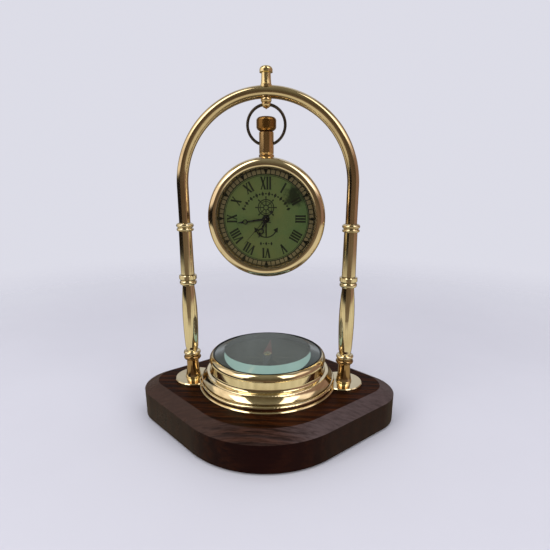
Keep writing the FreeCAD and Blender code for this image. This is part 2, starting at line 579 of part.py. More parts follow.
hanger = new_body("hanger")
turn(hanger, [
    ("0", "hanger_bottom"), ("hanger_tip_radius", "hanger_bottom"),
    ("hanger_tip_radius", "hanger_bottom + 0.25"), ("hanger_radius", "hanger_bottom + 1.6", "1.9", 1),
    ("hanger_radius", "hanger_bottom + 2.2"), ("hanger_radius - 0.15", "hanger_bottom + 2.4"),
    ("hanger_radius", "hanger_bottom + 2.6"), ("hanger_radius", "hanger_bottom + 4.1", "1.2", 1),
    ("hanger_radius - 0.15", "hanger_bottom + 4.2"), ("hanger_radius + 0.3", "hanger_bottom + 4.4"),
    ("hanger_radius + 0.3", "hanger_top"),
    ("0", "hanger_top")])
saddle(hanger, ARCH_TOP)
hole(hanger, "stud_hole", "stud_radius", length="stud_engagement", offset="stud_bottom")
EYE_HEIGHT = "(peg_height + bow_ring_rise + bow_ring_radius)"
hole(hanger, "eye", "eye_radius", (("0", f"{EYE_HEIGHT} - eye_drop"),), "10", plane="YZ_Plane",
     midplane=True)


# ---------------------------------------------------------------- bow

bow_ring = new_body("bow_ring")
bend_x = "sqrt((bow_ring_radius - bow_bend_radius) ^ 2 - (bow_ring_rise - bow_bend_radius) ^ 2)"
centre_x, centre_y = size(bend_x), size("bow_bend_radius")
ring_y, ring_radius, bend_radius = size("bow_ring_rise"), size("bow_ring_radius"), size("bow_bend_radius")
meet = math.atan2(centre_y - ring_y, centre_x)
bow_path = new_sketch(bow_ring, "bow_path", "XZ_Plane")
peg_x = size("peg_inner")
quarter = math.pi / 2
bow_path.addGeometry([
    Part.LineSegment(VEC(peg_x, 0, 0), VEC(centre_x, 0, 0)),
    Part.ArcOfCircle(Part.Circle(VEC(centre_x, centre_y, 0), AXIS_Z, bend_radius), -quarter, meet),
    Part.ArcOfCircle(Part.Circle(VEC(0, ring_y, 0), AXIS_Z, ring_radius), meet, math.pi - meet),
    Part.ArcOfCircle(Part.Circle(VEC(-centre_x, centre_y, 0), AXIS_Z, bend_radius),
                     math.pi - meet, 3 * quarter),
    Part.LineSegment(VEC(-centre_x, 0, 0), VEC(-peg_x, 0, 0))])
for k in range(4):
    bow_path.addConstraint(Sketcher.Constraint("Tangent", k, 2, k + 1, 1))
for geometry, point, x, y in ((0, 1, "peg_inner", "0"), (4, 2, "-peg_inner", "0"),
                              (2, 3, "0", "bow_ring_rise")):
    bind(bow_path, "DistanceX", geometry, point, to=x)
    bind(bow_path, "DistanceY", geometry, point, to=y)
bind(bow_path, "Radius", 1, to="bow_bend_radius")
bind(bow_path, "Radius", 2, to="bow_ring_radius")
bind(bow_path, "Radius", 3, to="bow_bend_radius")
wire_section = add_circle(new_sketch(bow_ring, "wire_section", "YZ_Plane", "peg_inner"), "bow_wire_radius")
bow_sweep = bow_ring.newObject("PartDesign::AdditivePipe", "bow_sweep")
bow_sweep.Profile = wire_section
bow_sweep.Spine = (bow_path, [f"Edge{number}" for number in range(1, 6)])
finish(bow_ring, bow_sweep)
place(bow_ring, z="peg_height")


# ---------------------------------------------------------------- watch case and crown

watch_case = new_body("watch_case")
turn(watch_case, [
    ("case_bore", "spigot_length - case_half"), ("spigot_bore", "spigot_length - case_half"),
    ("spigot_bore", "-case_half"), ("case_edge_radius", "-case_half"),
    ("case_edge_radius", "case_half", "5.6", 1), ("spigot_bore", "case_half"),
    ("spigot_bore", "case_half - spigot_length"), ("case_bore", "case_half - spigot_length")])
hole(watch_case, "neck_seat", "neck_root_radius", length="40", plane="XZ_Plane", reverse=False)
on_watch(watch_case)

pendant_neck = new_body("pendant_neck")
turn(pendant_neck, [
    ("0", "neck_foot"), ("neck_collar_radius", "neck_foot"), ("neck_collar_radius", "neck_collar_top - 0.3"),
    ("neck_collar_radius - 0.3", "neck_collar_top"), ("neck_outer", "neck_collar_top + 0.5", "0.9", -1),
    ("neck_outer", "neck_top - 0.4"), ("neck_outer - 0.4", "neck_top"), ("0", "neck_top")], plane="XY_Plane")
seat_cut = add_circle(new_sketch(pendant_neck, "neck_seat_cut"), "case_radius + 0.03")
pocket(pendant_neck, seat_cut, "12", midplane=True)
root_plan = add_circle(new_sketch(pendant_neck, "neck_root", "XZ_Plane", "-neck_root_end"),
                       "neck_root_radius")
pad(pendant_neck, root_plan, "neck_foot + 2 - neck_root_end", reverse=True)
hole(pendant_neck, "stem_bore", "stem_radius + stem_clearance", length="60", plane="XZ_Plane", reverse=False)
PEG_Y = "(peg_height - watch_height)"
for label, offset, reverse in (("right_peg_hole", "peg_inner - peg_end_gap", True),
                               ("left_peg_hole", "peg_end_gap - peg_inner", False)):
    hole(pendant_neck, label, "bow_wire_radius + peg_gap", ((PEG_Y, "0"),), "4", reverse, "YZ_Plane",
         offset)
on_watch(pendant_neck)

crown = new_body("crown")
turn(crown, [
    ("stem_radius", "crown_bottom"), ("crown_foot_radius", "crown_bottom"),
    ("crown_radius - 0.15", "crown_bottom + crown_skirt - 0.25"),
    ("crown_radius - 0.15", "crown_bottom + crown_skirt"),
    ("crown_radius", "crown_bottom + crown_skirt + 0.2"), ("crown_radius", "crown_shoulder"),
    ("crown_radius - 1.6", "crown_top - 0.2", "1.7", 1),
    ("0.5", "crown_top", "14", 1), ("0", "crown_top"), ("0", "stem_top"), ("stem_radius", "stem_top")],
    plane="XY_Plane")
on_watch(crown)

setting_stem = new_body("setting_stem")
turn(setting_stem, [
    ("0", "stem_end"), ("0.35", "stem_end"), ("0.35", "lever_groove - 3.2"),
    ("stem_radius", "lever_groove - 3.0"), ("stem_radius", "lever_groove - 0.3"),
    ("lever_groove_radius", "lever_groove - 0.3"),
    ("lever_groove_radius", "lever_groove + 0.3"), ("stem_radius", "lever_groove + 0.3"),
    ("stem_radius", "stem_top"), ("0", "stem_top")], plane="XY_Plane")
on_watch(setting_stem)

setting_lever = new_body("setting_lever")
fork = add_outline(new_sketch(setting_lever, "fork_plan", "XZ_Plane", "-(lever_groove + lever_thick / 2)"), [
    ("-1.6", "-0.75"), ("1.6", "-0.75"), ("1.6", "0.7"), ("lever_groove_radius + lever_gap", "0.7"),
    ("lever_groove_radius + lever_gap", "-0.001"),
    ("-(lever_groove_radius + lever_gap)", "-0.001", "lever_groove_radius + lever_gap + 0.001", -1),
    ("-(lever_groove_radius + lever_gap)", "0.7"), ("-1.6", "0.7")])
pad(setting_lever, fork, "lever_thick")
on_watch(setting_lever)

watch_bezel = new_body("watch_bezel")
turn(watch_bezel, [
    ("case_bore + 0.05", "case_half - spigot_length"), ("spigot_bore", "case_half - spigot_length"),
    ("spigot_bore", "case_half"), ("case_edge_radius", "case_half"),
    ("bezel_shoulder_radius", "case_half + 0.5"), ("bezel_shoulder_radius", "bezel_shoulder"),
    ("crystal_radius + crystal_gap + 0.5", "bezel_front", "3.1", 1),
    ("crystal_radius + crystal_gap", "bezel_front - 0.15"), ("crystal_radius + crystal_gap", "crystal_seat"),
    ("rehaut_front_radius", "crystal_seat"), ("rehaut_radius", "dial_back + dial_thick + rehaut_gap"),
    ("case_bore + 0.05", "dial_back + dial_thick + rehaut_gap")])
on_watch(watch_bezel)

crystal_gasket = new_body("crystal_gasket")
turn(crystal_gasket, [
    ("rehaut_front_radius + 0.05", "0"), ("crystal_radius", "0"), ("crystal_radius", "gasket_thick"),
    ("rehaut_front_radius + 0.05", "gasket_thick")])
on_watch(crystal_gasket, level="crystal_seat")

crystal = new_body("crystal")
turn(crystal, [
    ("0", "0"), ("crystal_radius", "0"), ("crystal_radius", "crystal_thick"),
    ("1", "crystal_thick + crystal_dome", "411", 1), ("0", "crystal_thick + crystal_dome")])
on_watch(crystal, level="crystal_seat + gasket_thick")

back_cover = new_body("back_cover")
turn(back_cover, [
    ("0", "-cover_rear"), ("1", "-cover_rear"), ("cover_rim_radius", "-cover_rim", "287", 1),
    ("case_radius", "-(case_half + 0.6)", "3.2", 1), ("case_edge_radius", "-case_half"),
    ("spigot_bore", "-case_half"), ("spigot_bore", "spigot_length - case_half"),
    ("case_bore + 0.05", "spigot_length - case_half"), ("case_bore + 0.05", "-(cover_inside - 0.4)"),
    ("case_bore - 0.4", "-cover_inside"), ("0", "-cover_inside")])
on_watch(back_cover)


# ---------------------------------------------------------------- dial and hands

dial = new_body("dial")
dial_plan = add_circle(new_sketch(dial, "dial_plan", offset="dial_back"), "dial_radius")
pad(dial, add_circle(dial_plan, "dial_bore"), "dial_thick")
feet = new_sketch(dial, "dial_feet", offset="dial_back - dial_foot_length")
FOOT_SPOTS = (("dial_foot_x", "dial_foot_y"), ("-dial_foot_x", "-dial_foot_y"))
for x, y in FOOT_SPOTS:
    add_circle(feet, "dial_foot_radius", x, y)
pad(dial, feet, "dial_foot_length")
on_watch(dial)


def hand(label, level, bore, boss, root, ring_shift, ring_radius, length, angle):
    """Blued hand with a pierced moon near the tip; the tip carries on past the ring."""
    body = new_body(label)
    pad(body, add_circle(new_sketch(body, label + "_boss"), boss), "hand_thick")
    blade = add_outline(new_sketch(body, label + "_blade"), [
        (f"-{root}", "0"), (root, "0"), (f"{root} * 0.55", f"{ring_shift} - {ring_radius} * 0.7"),
        (f"-{root} * 0.55", f"{ring_shift} - {ring_radius} * 0.7")])
    pad(body, blade, "hand_thick")
    moon = add_circle(new_sketch(body, label + "_moon"), ring_radius, "0", ring_shift)
    pad(body, moon, "hand_thick")
    tip = add_outline(new_sketch(body, label + "_tip"), [
        (f"-{ring_radius} * 0.55", f"{ring_shift} + {ring_radius} * 0.6"),
        (f"{ring_radius} * 0.55", f"{ring_shift} + {ring_radius} * 0.6"),
        ("0.06", length), ("-0.06", length)])
    pad(body, tip, "hand_thick")
    hole(body, "moon_hole", f"{ring_radius} * 0.62", (("0", f"{ring_shift} + {ring_radius} * 0.12"),))
    hole(body, "bore", bore)
    on_watch(body, level=level, clockwise=angle)


hand("hour_hand", "hour_level", "hour_tube_radius", "hour_boss", "0.62", "hour_ring_shift",
     "hour_ring_radius", "hour_length", HOUR_ANGLE)
hand("minute_hand", "minute_level", "cannon_radius", "minute_boss", "0.5", "minute_ring_shift",
     "minute_ring_radius", "minute_length", MINUTE_ANGLE)

second_hand = new_body("second_hand")
pad(second_hand, add_circle(new_sketch(second_hand, "second_boss_plan"), "second_boss"), "hand_thick")
second_blade = add_outline(new_sketch(second_hand, "second_blade"), [
    ("-0.24", "-second_tail"), ("0.24", "-second_tail"),
    ("0.05", "second_length"), ("-0.05", "second_length")])
pad(second_hand, second_blade, "hand_thick")
tail_disc = add_circle(new_sketch(second_hand, "second_tail_disc"), "0.55", "0", "-second_tail")
pad(second_hand, tail_disc, "hand_thick")
hole(second_hand, "bore", "seconds_arbor_radius")
on_watch(second_hand, level="second_level", clockwise=SECOND_ANGLE)


# ---------------------------------------------------------------- wheel positions

CENTRE = (0.0, 0.0)


def mesh_distance(module, first, second):
    return size(module) * (TEETH[first] + TEETH[second]) / 2


def step_from(start, distance, degrees):
    dx, dy = polar(distance, degrees)
    return start[0] + dx, start[1] + dy


THIRD = step_from(CENTRE, mesh_distance("third_module", "fourth_pinion", "third_wheel"),
                  size("third_direction"))
INTERMEDIATE = step_from(CENTRE, mesh_distance("fourth_module", "intermediate_pinion", "fourth_wheel"),
                         size("intermediate_direction"))
ROTOR = step_from(INTERMEDIATE, mesh_distance("rotor_module", "rotor", "intermediate_wheel"),
                  size("rotor_direction"))
MINUTE = step_from(CENTRE, mesh_distance("motion_module", "cannon_pinion", "minute_wheel"),
                   size("minute_direction"))
SETTING = step_from(MINUTE, mesh_distance("motion_module", "minute_wheel", "setting_wheel"),
                    size("setting_direction"))
COIL_SCREWS = [(size("coil_x"), size("core_start") + COIL_SCREW_INSET),
               (size("coil_x"), size("core_end") - COIL_SCREW_INSET)]


# ---------------------------------------------------------------- movement frame

def disc(radius, low, high, at=CENTRE):
    return Part.makeCylinder(size(radius), size(high) - size(low), VEC(at[0], at[1], size(low)))


def pillar(radius, low, high, at):
    return Part.makeCylinder(radius, high - low, VEC(at[0], at[1], low))


movement_holder = new_body("movement_holder")
turn(movement_holder, [
    ("movement_radius + movement_fit", "-holder_back"), ("case_bore - holder_gap - 0.8", "-holder_back"),
    ("case_bore - holder_gap", "-holder_back + 0.8"), ("case_bore - holder_gap", "dial_back"),
    ("movement_radius + movement_fit", "dial_back")])
hole(movement_holder, "stem_channel", "stem_radius + 0.3", length="40", plane="XZ_Plane", reverse=False)
on_watch(movement_holder)

plate_low, plate_high = size("plate_back"), size("plate_front")
pivot_hole = size("arbor_radius + pivot_gap")
plate_shape = disc("movement_radius", "plate_back", "plate_front")
plate_holes = [pillar(size("cannon_radius + pivot_gap"), plate_low, plate_high, CENTRE)]
plate_holes += [pillar(pivot_hole, plate_low, plate_high, spot) for spot in (THIRD, INTERMEDIATE, ROTOR)]
plate_holes += [pillar(size("dial_foot_radius"), plate_low, plate_high, (size(x), size(y)))
                for x, y in FOOT_SPOTS]
plate_holes += [pillar(size("screw_radius"), plate_low, plate_high, spot)
                for spot in MOVEMENT_SCREWS + COIL_SCREWS]
plate_shape = plate_shape.cut(plate_holes)
posts = [pillar(size("post_radius"), plate_high, size("dial_back") - 0.1, spot)
         for spot in (MINUTE, SETTING)]
solid_part("mainplate", plate_shape.fuse(posts))

bridge_low, bridge_high = -size("bridge_back"), -size("bridge_front")
cell = (size("cell_x"), size("cell_y"))
bridge_shape = disc("bridge_radius", "-bridge_back", "-bridge_front")
bridge_shape = bridge_shape.fuse([pillar(size("pillar_radius"), bridge_high, plate_low, spot)
                                  for spot in MOVEMENT_SCREWS])
coil_window = Part.makeBox(3.2, size("core_end - core_start") + 1.2, bridge_high - bridge_low,
                           VEC(size("coil_x") - 1.6, size("core_start") - 0.6, bridge_low))
bridge_holes = [pillar(size("cell_radius") + 0.15, bridge_low, bridge_high, cell), coil_window]
bridge_holes += [pillar(size("screw_radius"), bridge_low, plate_low, spot) for spot in MOVEMENT_SCREWS]
bridge_holes += [pillar(size("screw_radius"), bridge_low, bridge_high, CLAMP_SCREW)]
bridge_holes += [pillar(pivot_hole, bridge_low, bridge_high, spot)
                 for spot in (CENTRE, THIRD, INTERMEDIATE, ROTOR)]
solid_part("train_bridge", bridge_shape.cut(bridge_holes))


def screws(label, spots, seat_levels, end):
    """Cheese-head screws with a driving slot, heads on the rear side."""
    pieces = []
    for (x, y), seat in zip(spots, seat_levels):
        head = Part.makeCylinder(size("screw_head_radius"), size("screw_head_height"),
                                 VEC(x, y, seat - size("screw_head_height")))
        slot = Part.makeBox(2 * size("screw_head_radius"), size("slot_width"), size("slot_depth"),
                            VEC(x - size("screw_head_radius"), y - size("slot_width") / 2,
                                seat - size("screw_head_height")))
        shank = Part.makeCylinder(size("screw_radius"), end - seat, VEC(x, y, seat))
        pieces.append(head.cut(slot).fuse(shank).removeSplitter())
    solid_part(label, Part.makeCompound(pieces))


screws("movement_screws", MOVEMENT_SCREWS, [bridge_low] * 3, size("screw_end"))
screws("clamp_screw", [CLAMP_SCREW], [bridge_low - size("strip_thick")], bridge_high)


# ---------------------------------------------------------------- cell, circuit and motor

solid_part("battery", disc("cell_radius", "-cell_back", "cell_front - 0.35", cell).fuse(
    disc("cell_radius - 0.9", "cell_front - 0.35", "cell_front", cell)))

strip_half = size("strip_half_width")
strip_thick = size("strip_thick")
contact = Part.makeBox(2 * strip_half, size("contact_length"), strip_thick,
                       VEC(-strip_half, 0, size("cell_front")))
contact.rotate(VEC(0, 0, 0), AXIS_Z, size("contact_direction"))
contact.translate(VEC(cell[0], cell[1], 0))
solid_part("battery_contact", contact)

# The clamp is drawn along Y from its screw; a round foot on its underside presses on the cell.
clamp = Part.makeBox(2 * strip_half, size("clamp_length"), strip_thick,
                     VEC(-strip_half, -size("clamp_tail"), bridge_low - strip_thick))
clamp_foot = Part.makeCylinder(size("clamp_foot_radius"), -bridge_low - size("cell_back"),
                               VEC(0, math.dist(cell, CLAMP_SCREW), bridge_low))
clamp = clamp.fuse(clamp_foot)
clamp = clamp.cut(Part.makeCylinder(size("screw_radius"), 1, VEC(0, 0, bridge_low - 0.5)))
toward_cell = math.degrees(math.atan2(cell[1] - CLAMP_SCREW[1], cell[0] - CLAMP_SCREW[0]))
clamp.rotate(VEC(0, 0, 0), AXIS_Z, toward_cell - 90)
clamp.translate(VEC(CLAMP_SCREW[0], CLAMP_SCREW[1], 0))
solid_part("battery_clamp", clamp)

board_low = size("cell_front - board_thick")
board_angle = size("board_end - board_start")
board = Part.makeCylinder(size("board_outer"), size("board_thick"), VEC(0, 0, board_low), AXIS_Z,
                          board_angle)
board = board.cut(Part.makeCylinder(size("board_inner"), 1, VEC(0, 0, board_low - 0.1)))
board.rotate(VEC(0, 0, 0), AXIS_Z, size("board_start"))
board = board.cut(pillar(size("pillar_radius") + 0.15, board_low, board_low + 1, MOVEMENT_SCREWS[0]))
solid_part("circuit_board", board)

board_middle = size("board_inner + board_outer") / 2
chip_spot = polar(board_middle, size("chip_direction"))
chip_side = size("chip_side")
chip = Part.makeBox(chip_side, chip_side, size("chip_height"),
                    VEC(-chip_side / 2, -chip_side / 2, board_low - size("chip_height")))
chip.translate(VEC(chip_spot[0], chip_spot[1], 0))
solid_part("timer_chip", chip)

can_spot = polar(board_middle, size("can_direction"))
can = Part.makeCylinder(size("can_radius"), size("can_length"), VEC(0, 0, -size("can_length") / 2), AXIS_Z)
can.rotate(VEC(0, 0, 0), AXIS_X, 90)
can.rotate(VEC(0, 0, 0), AXIS_Z, size("can_direction"))
can.translate(VEC(can_spot[0], can_spot[1], board_low - size("can_radius")))
solid_part("quartz_can", can)

coil_x, core_half = size("coil_x"), size("core_half_width")
stator_low = size("plate_back - stator_thick")
core_low = stator_low - size("core_thick")
core = Part.makeBox(2 * core_half, size("core_end - core_start"), size("core_thick"),
                    VEC(coil_x - core_half, size("core_start"), core_low))
core = core.cut([pillar(size("screw_radius"), core_low, stator_low, spot) for spot in COIL_SCREWS])
solid_part("coil_core", core)

winding_middle = core_low + size("core_thick") / 2
winding = Part.makeCylinder(size("winding_radius"), size("winding_end - winding_start"),
                            VEC(coil_x, size("winding_start"), winding_middle), AXIS_Y)
gap = size("winding_gap")
winding = winding.cut(Part.makeBox(2 * (core_half + gap), size("core_end - core_start"),
                                   size("core_thick") + 2 * gap,
                                   VEC(coil_x - core_half - gap, size("core_start"), core_low - gap)))
solid_part("coil_winding", winding)
screws("coil_screws", COIL_SCREWS, [core_low] * 2, size("screw_end"))

rotor_x, rotor_y = ROTOR
# Stator plan: a square pad round the rotor, one arm to each end of the coil core.
STATOR_PLAN = [
    (rotor_x - 2.1, rotor_y - 2.1), (rotor_x + 2.2, rotor_y - 2.1),
    (coil_x + 1.0, -2.9), (coil_x + 1.0, -0.8), (coil_x - 1.0, -0.8),
    (rotor_x + 1.9, rotor_y + 2.1), (rotor_x + 0.4, rotor_y + 2.1),
    (rotor_x + 0.4, 7.9), (coil_x + 0.8, 7.9), (coil_x + 0.8, 9.6), (rotor_x - 1.4, 9.6),
    (rotor_x - 1.4, rotor_y + 2.1), (rotor_x - 2.1, rotor_y + 1.5)]
stator_wire = Part.makePolygon([VEC(x, y, stator_low) for x, y in STATOR_PLAN + STATOR_PLAN[:1]])
stator = Part.Face(stator_wire).extrude(VEC(0, 0, size("stator_thick")))
stator = stator.cut([pillar(size("stator_hole"), stator_low, plate_low, ROTOR)]
                    + [pillar(size("screw_radius"), stator_low, plate_low, spot) for spot in COIL_SCREWS])
solid_part("stator", stator)


# ---------------------------------------------------------------- wheels

def gear(teeth, module, low, thick, tooth_at):
    """Toothed blank: tapered teeth with backlash, one tooth pointing along tooth_at degrees."""
    pitch_radius = module * teeth / 2
    pitch_angle = 360 / teeth
    reach = (
        (pitch_radius - 1.25 * module, -0.24), (pitch_radius, -0.175), (pitch_radius + 0.72 * module, -0.09),
        (pitch_radius + 0.72 * module, 0.09), (pitch_radius, 0.175), (pitch_radius - 1.25 * module, 0.24))
    points = []
    for number in range(teeth):
        for radius, share in reach:
            x, y = polar(radius, tooth_at + (number + share) * pitch_angle)
            points.append(VEC(x, y, low))
    return Part.Face(Part.makePolygon(points + points[:1])).extrude(VEC(0, 0, thick))


def bearing(start, end):
    return math.degrees(math.atan2(end[1] - start[1], end[0] - start[0]))


def facing(teeth, start, end):
    """Tooth angle that turns a gap, not a tooth, toward the meshing arbor."""
    return bearing(start, end) + 180 / TEETH[teeth]


def arbor(radius, low, high):
    return Part.makeCylinder(radius, high - low, VEC(0, 0, low))


def spokes(radius_in, radius_out, low, thick, count):
    """Crossings of a wheel: round windows between hub and rim."""
    middle = (radius_in + radius_out) / 2
    width = min((radius_out - radius_in) / 2, 0.82 * middle * math.sin(math.pi / count))
    windows = []
    for number in range(count):
        x, y = polar(middle, number * 360 / count)
        windows.append(Part.makeCylinder(width, thick, VEC(x, y, low)))
    return windows


WHEEL = size("wheel_thick")
PINION = size("pinion_thick")
ARBOR = size("arbor_radius")
FRONT_PIVOT = size("plate_front - 0.2")
REAR_PIVOT = -size("bridge_back - 0.2")

# Each mesh: the pinion points a tooth at the wheel, and the wheel turns a gap toward the pinion.
centre_level, third_level = size("centre_level"), size("third_level")
fourth_level, intermediate_level = size("fourth_level"), size("intermediate_level")
motion_level, hour_wheel_level = size("motion_level"), size("hour_level_wheel")

centre_gear = gear(TEETH["centre_wheel"], size("centre_module"), centre_level, WHEEL,
                   facing("centre_wheel", CENTRE, THIRD))
centre_gear = centre_gear.cut(spokes(1.0, 3.9, centre_level, WHEEL, 5))
cannon_pinion = gear(TEETH["cannon_pinion"], size("motion_module"), motion_level, WHEEL,
                     bearing(CENTRE, MINUTE))
cannon = arbor(size("cannon_radius"), centre_level, size("minute_level + hand_thick"))
centre_shape = centre_gear.fuse([cannon, cannon_pinion])
centre_shape = centre_shape.cut(arbor(size("cannon_bore"), -5, 9))
solid_part("centre_wheel", centre_shape)

third_gear = gear(TEETH["third_wheel"], size("third_module"), third_level, WHEEL,
                  facing("third_wheel", THIRD, CENTRE))
third_gear = third_gear.cut(spokes(0.9, 3.8, third_level, WHEEL, 5))
third_pinion = gear(TEETH["third_pinion"], size("centre_module"), centre_level - 0.1, PINION,
                    bearing(THIRD, CENTRE))
solid_part("third_wheel", third_gear.fuse([third_pinion, arbor(ARBOR, REAR_PIVOT, FRONT_PIVOT)]), *THIRD)

fourth_gear = gear(TEETH["fourth_wheel"], size("fourth_module"), fourth_level, WHEEL,
                   facing("fourth_wheel", CENTRE, INTERMEDIATE))
fourth_pinion = gear(TEETH["fourth_pinion"], size("third_module"), third_level - 0.1, PINION,
                     bearing(CENTRE, THIRD))
seconds_arbor = arbor(size("seconds_arbor_radius"), REAR_PIVOT, size("second_level + hand_thick"))
solid_part("fourth_wheel", fourth_gear.fuse([fourth_pinion, seconds_arbor]))

intermediate_gear = gear(TEETH["intermediate_wheel"], size("rotor_module"), intermediate_level, WHEEL,
                         facing("intermediate_wheel", INTERMEDIATE, ROTOR))
intermediate_gear = intermediate_gear.cut(spokes(1.5, 3.3, intermediate_level, WHEEL, 6))
intermediate_pinion = gear(TEETH["intermediate_pinion"], size("fourth_module"), fourth_level - 0.1, PINION,
                           bearing(INTERMEDIATE, CENTRE))
intermediate_shape = intermediate_gear.fuse([intermediate_pinion, arbor(ARBOR, REAR_PIVOT, FRONT_PIVOT)])
intermediate_shape = intermediate_shape.fuse(arbor(0.5, intermediate_level, fourth_level))
solid_part("intermediate_wheel", intermediate_shape, *INTERMEDIATE)

magnet_low = stator_low + (size("stator_thick") - size("magnet_thick")) / 2
rotor_pinion = gear(TEETH["rotor"], size("rotor_module"), intermediate_level - 0.1, PINION,
                    bearing(ROTOR, INTERMEDIATE))
magnet = Part.makeCylinder(size("magnet_radius"), size("magnet_thick"), VEC(0, 0, magnet_low))
solid_part("rotor", rotor_pinion.fuse([magnet, arbor(ARBOR, REAR_PIVOT, FRONT_PIVOT)]), *ROTOR)

post_bore = size("post_radius + post_gap")
minute_gear = gear(TEETH["minute_wheel"], size("motion_module"), motion_level, WHEEL,
                   facing("minute_wheel", MINUTE, CENTRE))
minute_pinion = gear(TEETH["minute_pinion"], size("hour_module"), motion_level + WHEEL,
                     hour_wheel_level - motion_level, bearing(MINUTE, CENTRE))
solid_part("minute_wheel", minute_gear.fuse(minute_pinion).cut(arbor(post_bore, 0, 5)), *MINUTE)

hour_gear = gear(TEETH["hour_wheel"], size("hour_module"), hour_wheel_level, WHEEL,
                 facing("hour_wheel", CENTRE, MINUTE))
hour_tube = arbor(size("hour_tube_radius"), hour_wheel_level, size("hour_level + hand_thick"))
solid_part("hour_wheel", hour_gear.fuse(hour_tube).cut(arbor(size("hour_tube_bore"), 0, 9)))

minute_tooth = facing("minute_wheel", MINUTE, CENTRE)
toward_setting = bearing(MINUTE, SETTING)
minute_step = 360 / TEETH["minute_wheel"]
lead = ((toward_setting - minute_tooth) / minute_step) % 1
setting_tooth = toward_setting + 180 + (0.5 - lead) * -360 / TEETH["setting_wheel"]
setting_gear = gear(TEETH["setting_wheel"], size("motion_module"), motion_level, WHEEL, setting_tooth)
solid_part("setting_wheel", setting_gear.cut(arbor(post_bore, 0, 5)), *SETTING)


# ---------------------------------------------------------------- checks and files

doc.recompute()
for item in doc.Objects:
    bad = [state for state in item.State if state in ("Invalid", "Error")]
    if bad:
        raise RuntimeError(f"{item.Label} has state {bad}")
for item in PARTS:
    if item.Shape.isNull() or not item.Shape.isValid() or not item.Shape.Solids:
        raise RuntimeError(f"{item.Label} has no sound solid")

os.makedirs("parts", exist_ok=True)
for item in PARTS:
    item.Shape.exportStep(f"parts/{item.Label}.step")
    print(item.Label, len(item.Shape.Solids), round(item.Shape.Volume, 3))
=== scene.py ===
import json
import math

import bmesh
import bpy
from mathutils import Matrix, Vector


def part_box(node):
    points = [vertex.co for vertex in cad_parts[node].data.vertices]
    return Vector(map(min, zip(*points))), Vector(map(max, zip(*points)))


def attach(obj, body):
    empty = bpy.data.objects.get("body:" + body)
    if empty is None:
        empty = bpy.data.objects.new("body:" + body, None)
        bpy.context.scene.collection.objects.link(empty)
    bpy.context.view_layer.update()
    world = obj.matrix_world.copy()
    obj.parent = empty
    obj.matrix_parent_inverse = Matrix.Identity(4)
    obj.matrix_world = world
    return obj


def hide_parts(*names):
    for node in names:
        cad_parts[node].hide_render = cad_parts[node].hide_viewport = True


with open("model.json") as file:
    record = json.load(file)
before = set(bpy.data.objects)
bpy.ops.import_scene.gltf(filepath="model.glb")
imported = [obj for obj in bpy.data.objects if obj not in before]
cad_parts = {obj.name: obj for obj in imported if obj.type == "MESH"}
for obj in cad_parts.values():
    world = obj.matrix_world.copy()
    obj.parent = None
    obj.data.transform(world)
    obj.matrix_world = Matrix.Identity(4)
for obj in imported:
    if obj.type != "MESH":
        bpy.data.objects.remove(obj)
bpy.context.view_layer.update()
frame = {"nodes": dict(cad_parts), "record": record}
NODES = frame["nodes"]
MM = 0.001

WATCH_Z = sum(corner.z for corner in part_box("dial")) / 2
DIAL_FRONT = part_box("dial")[0].y
CARD_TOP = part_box("compass_dial")[1].z
GLASS_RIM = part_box("compass_glass")[1].x


# ------------------------------------------------------------------ node helpers

# places of a mix node's two colour inputs, and of its colour output
MIX_INPUTS = (6, 7)
MIX_OUTPUT = 2


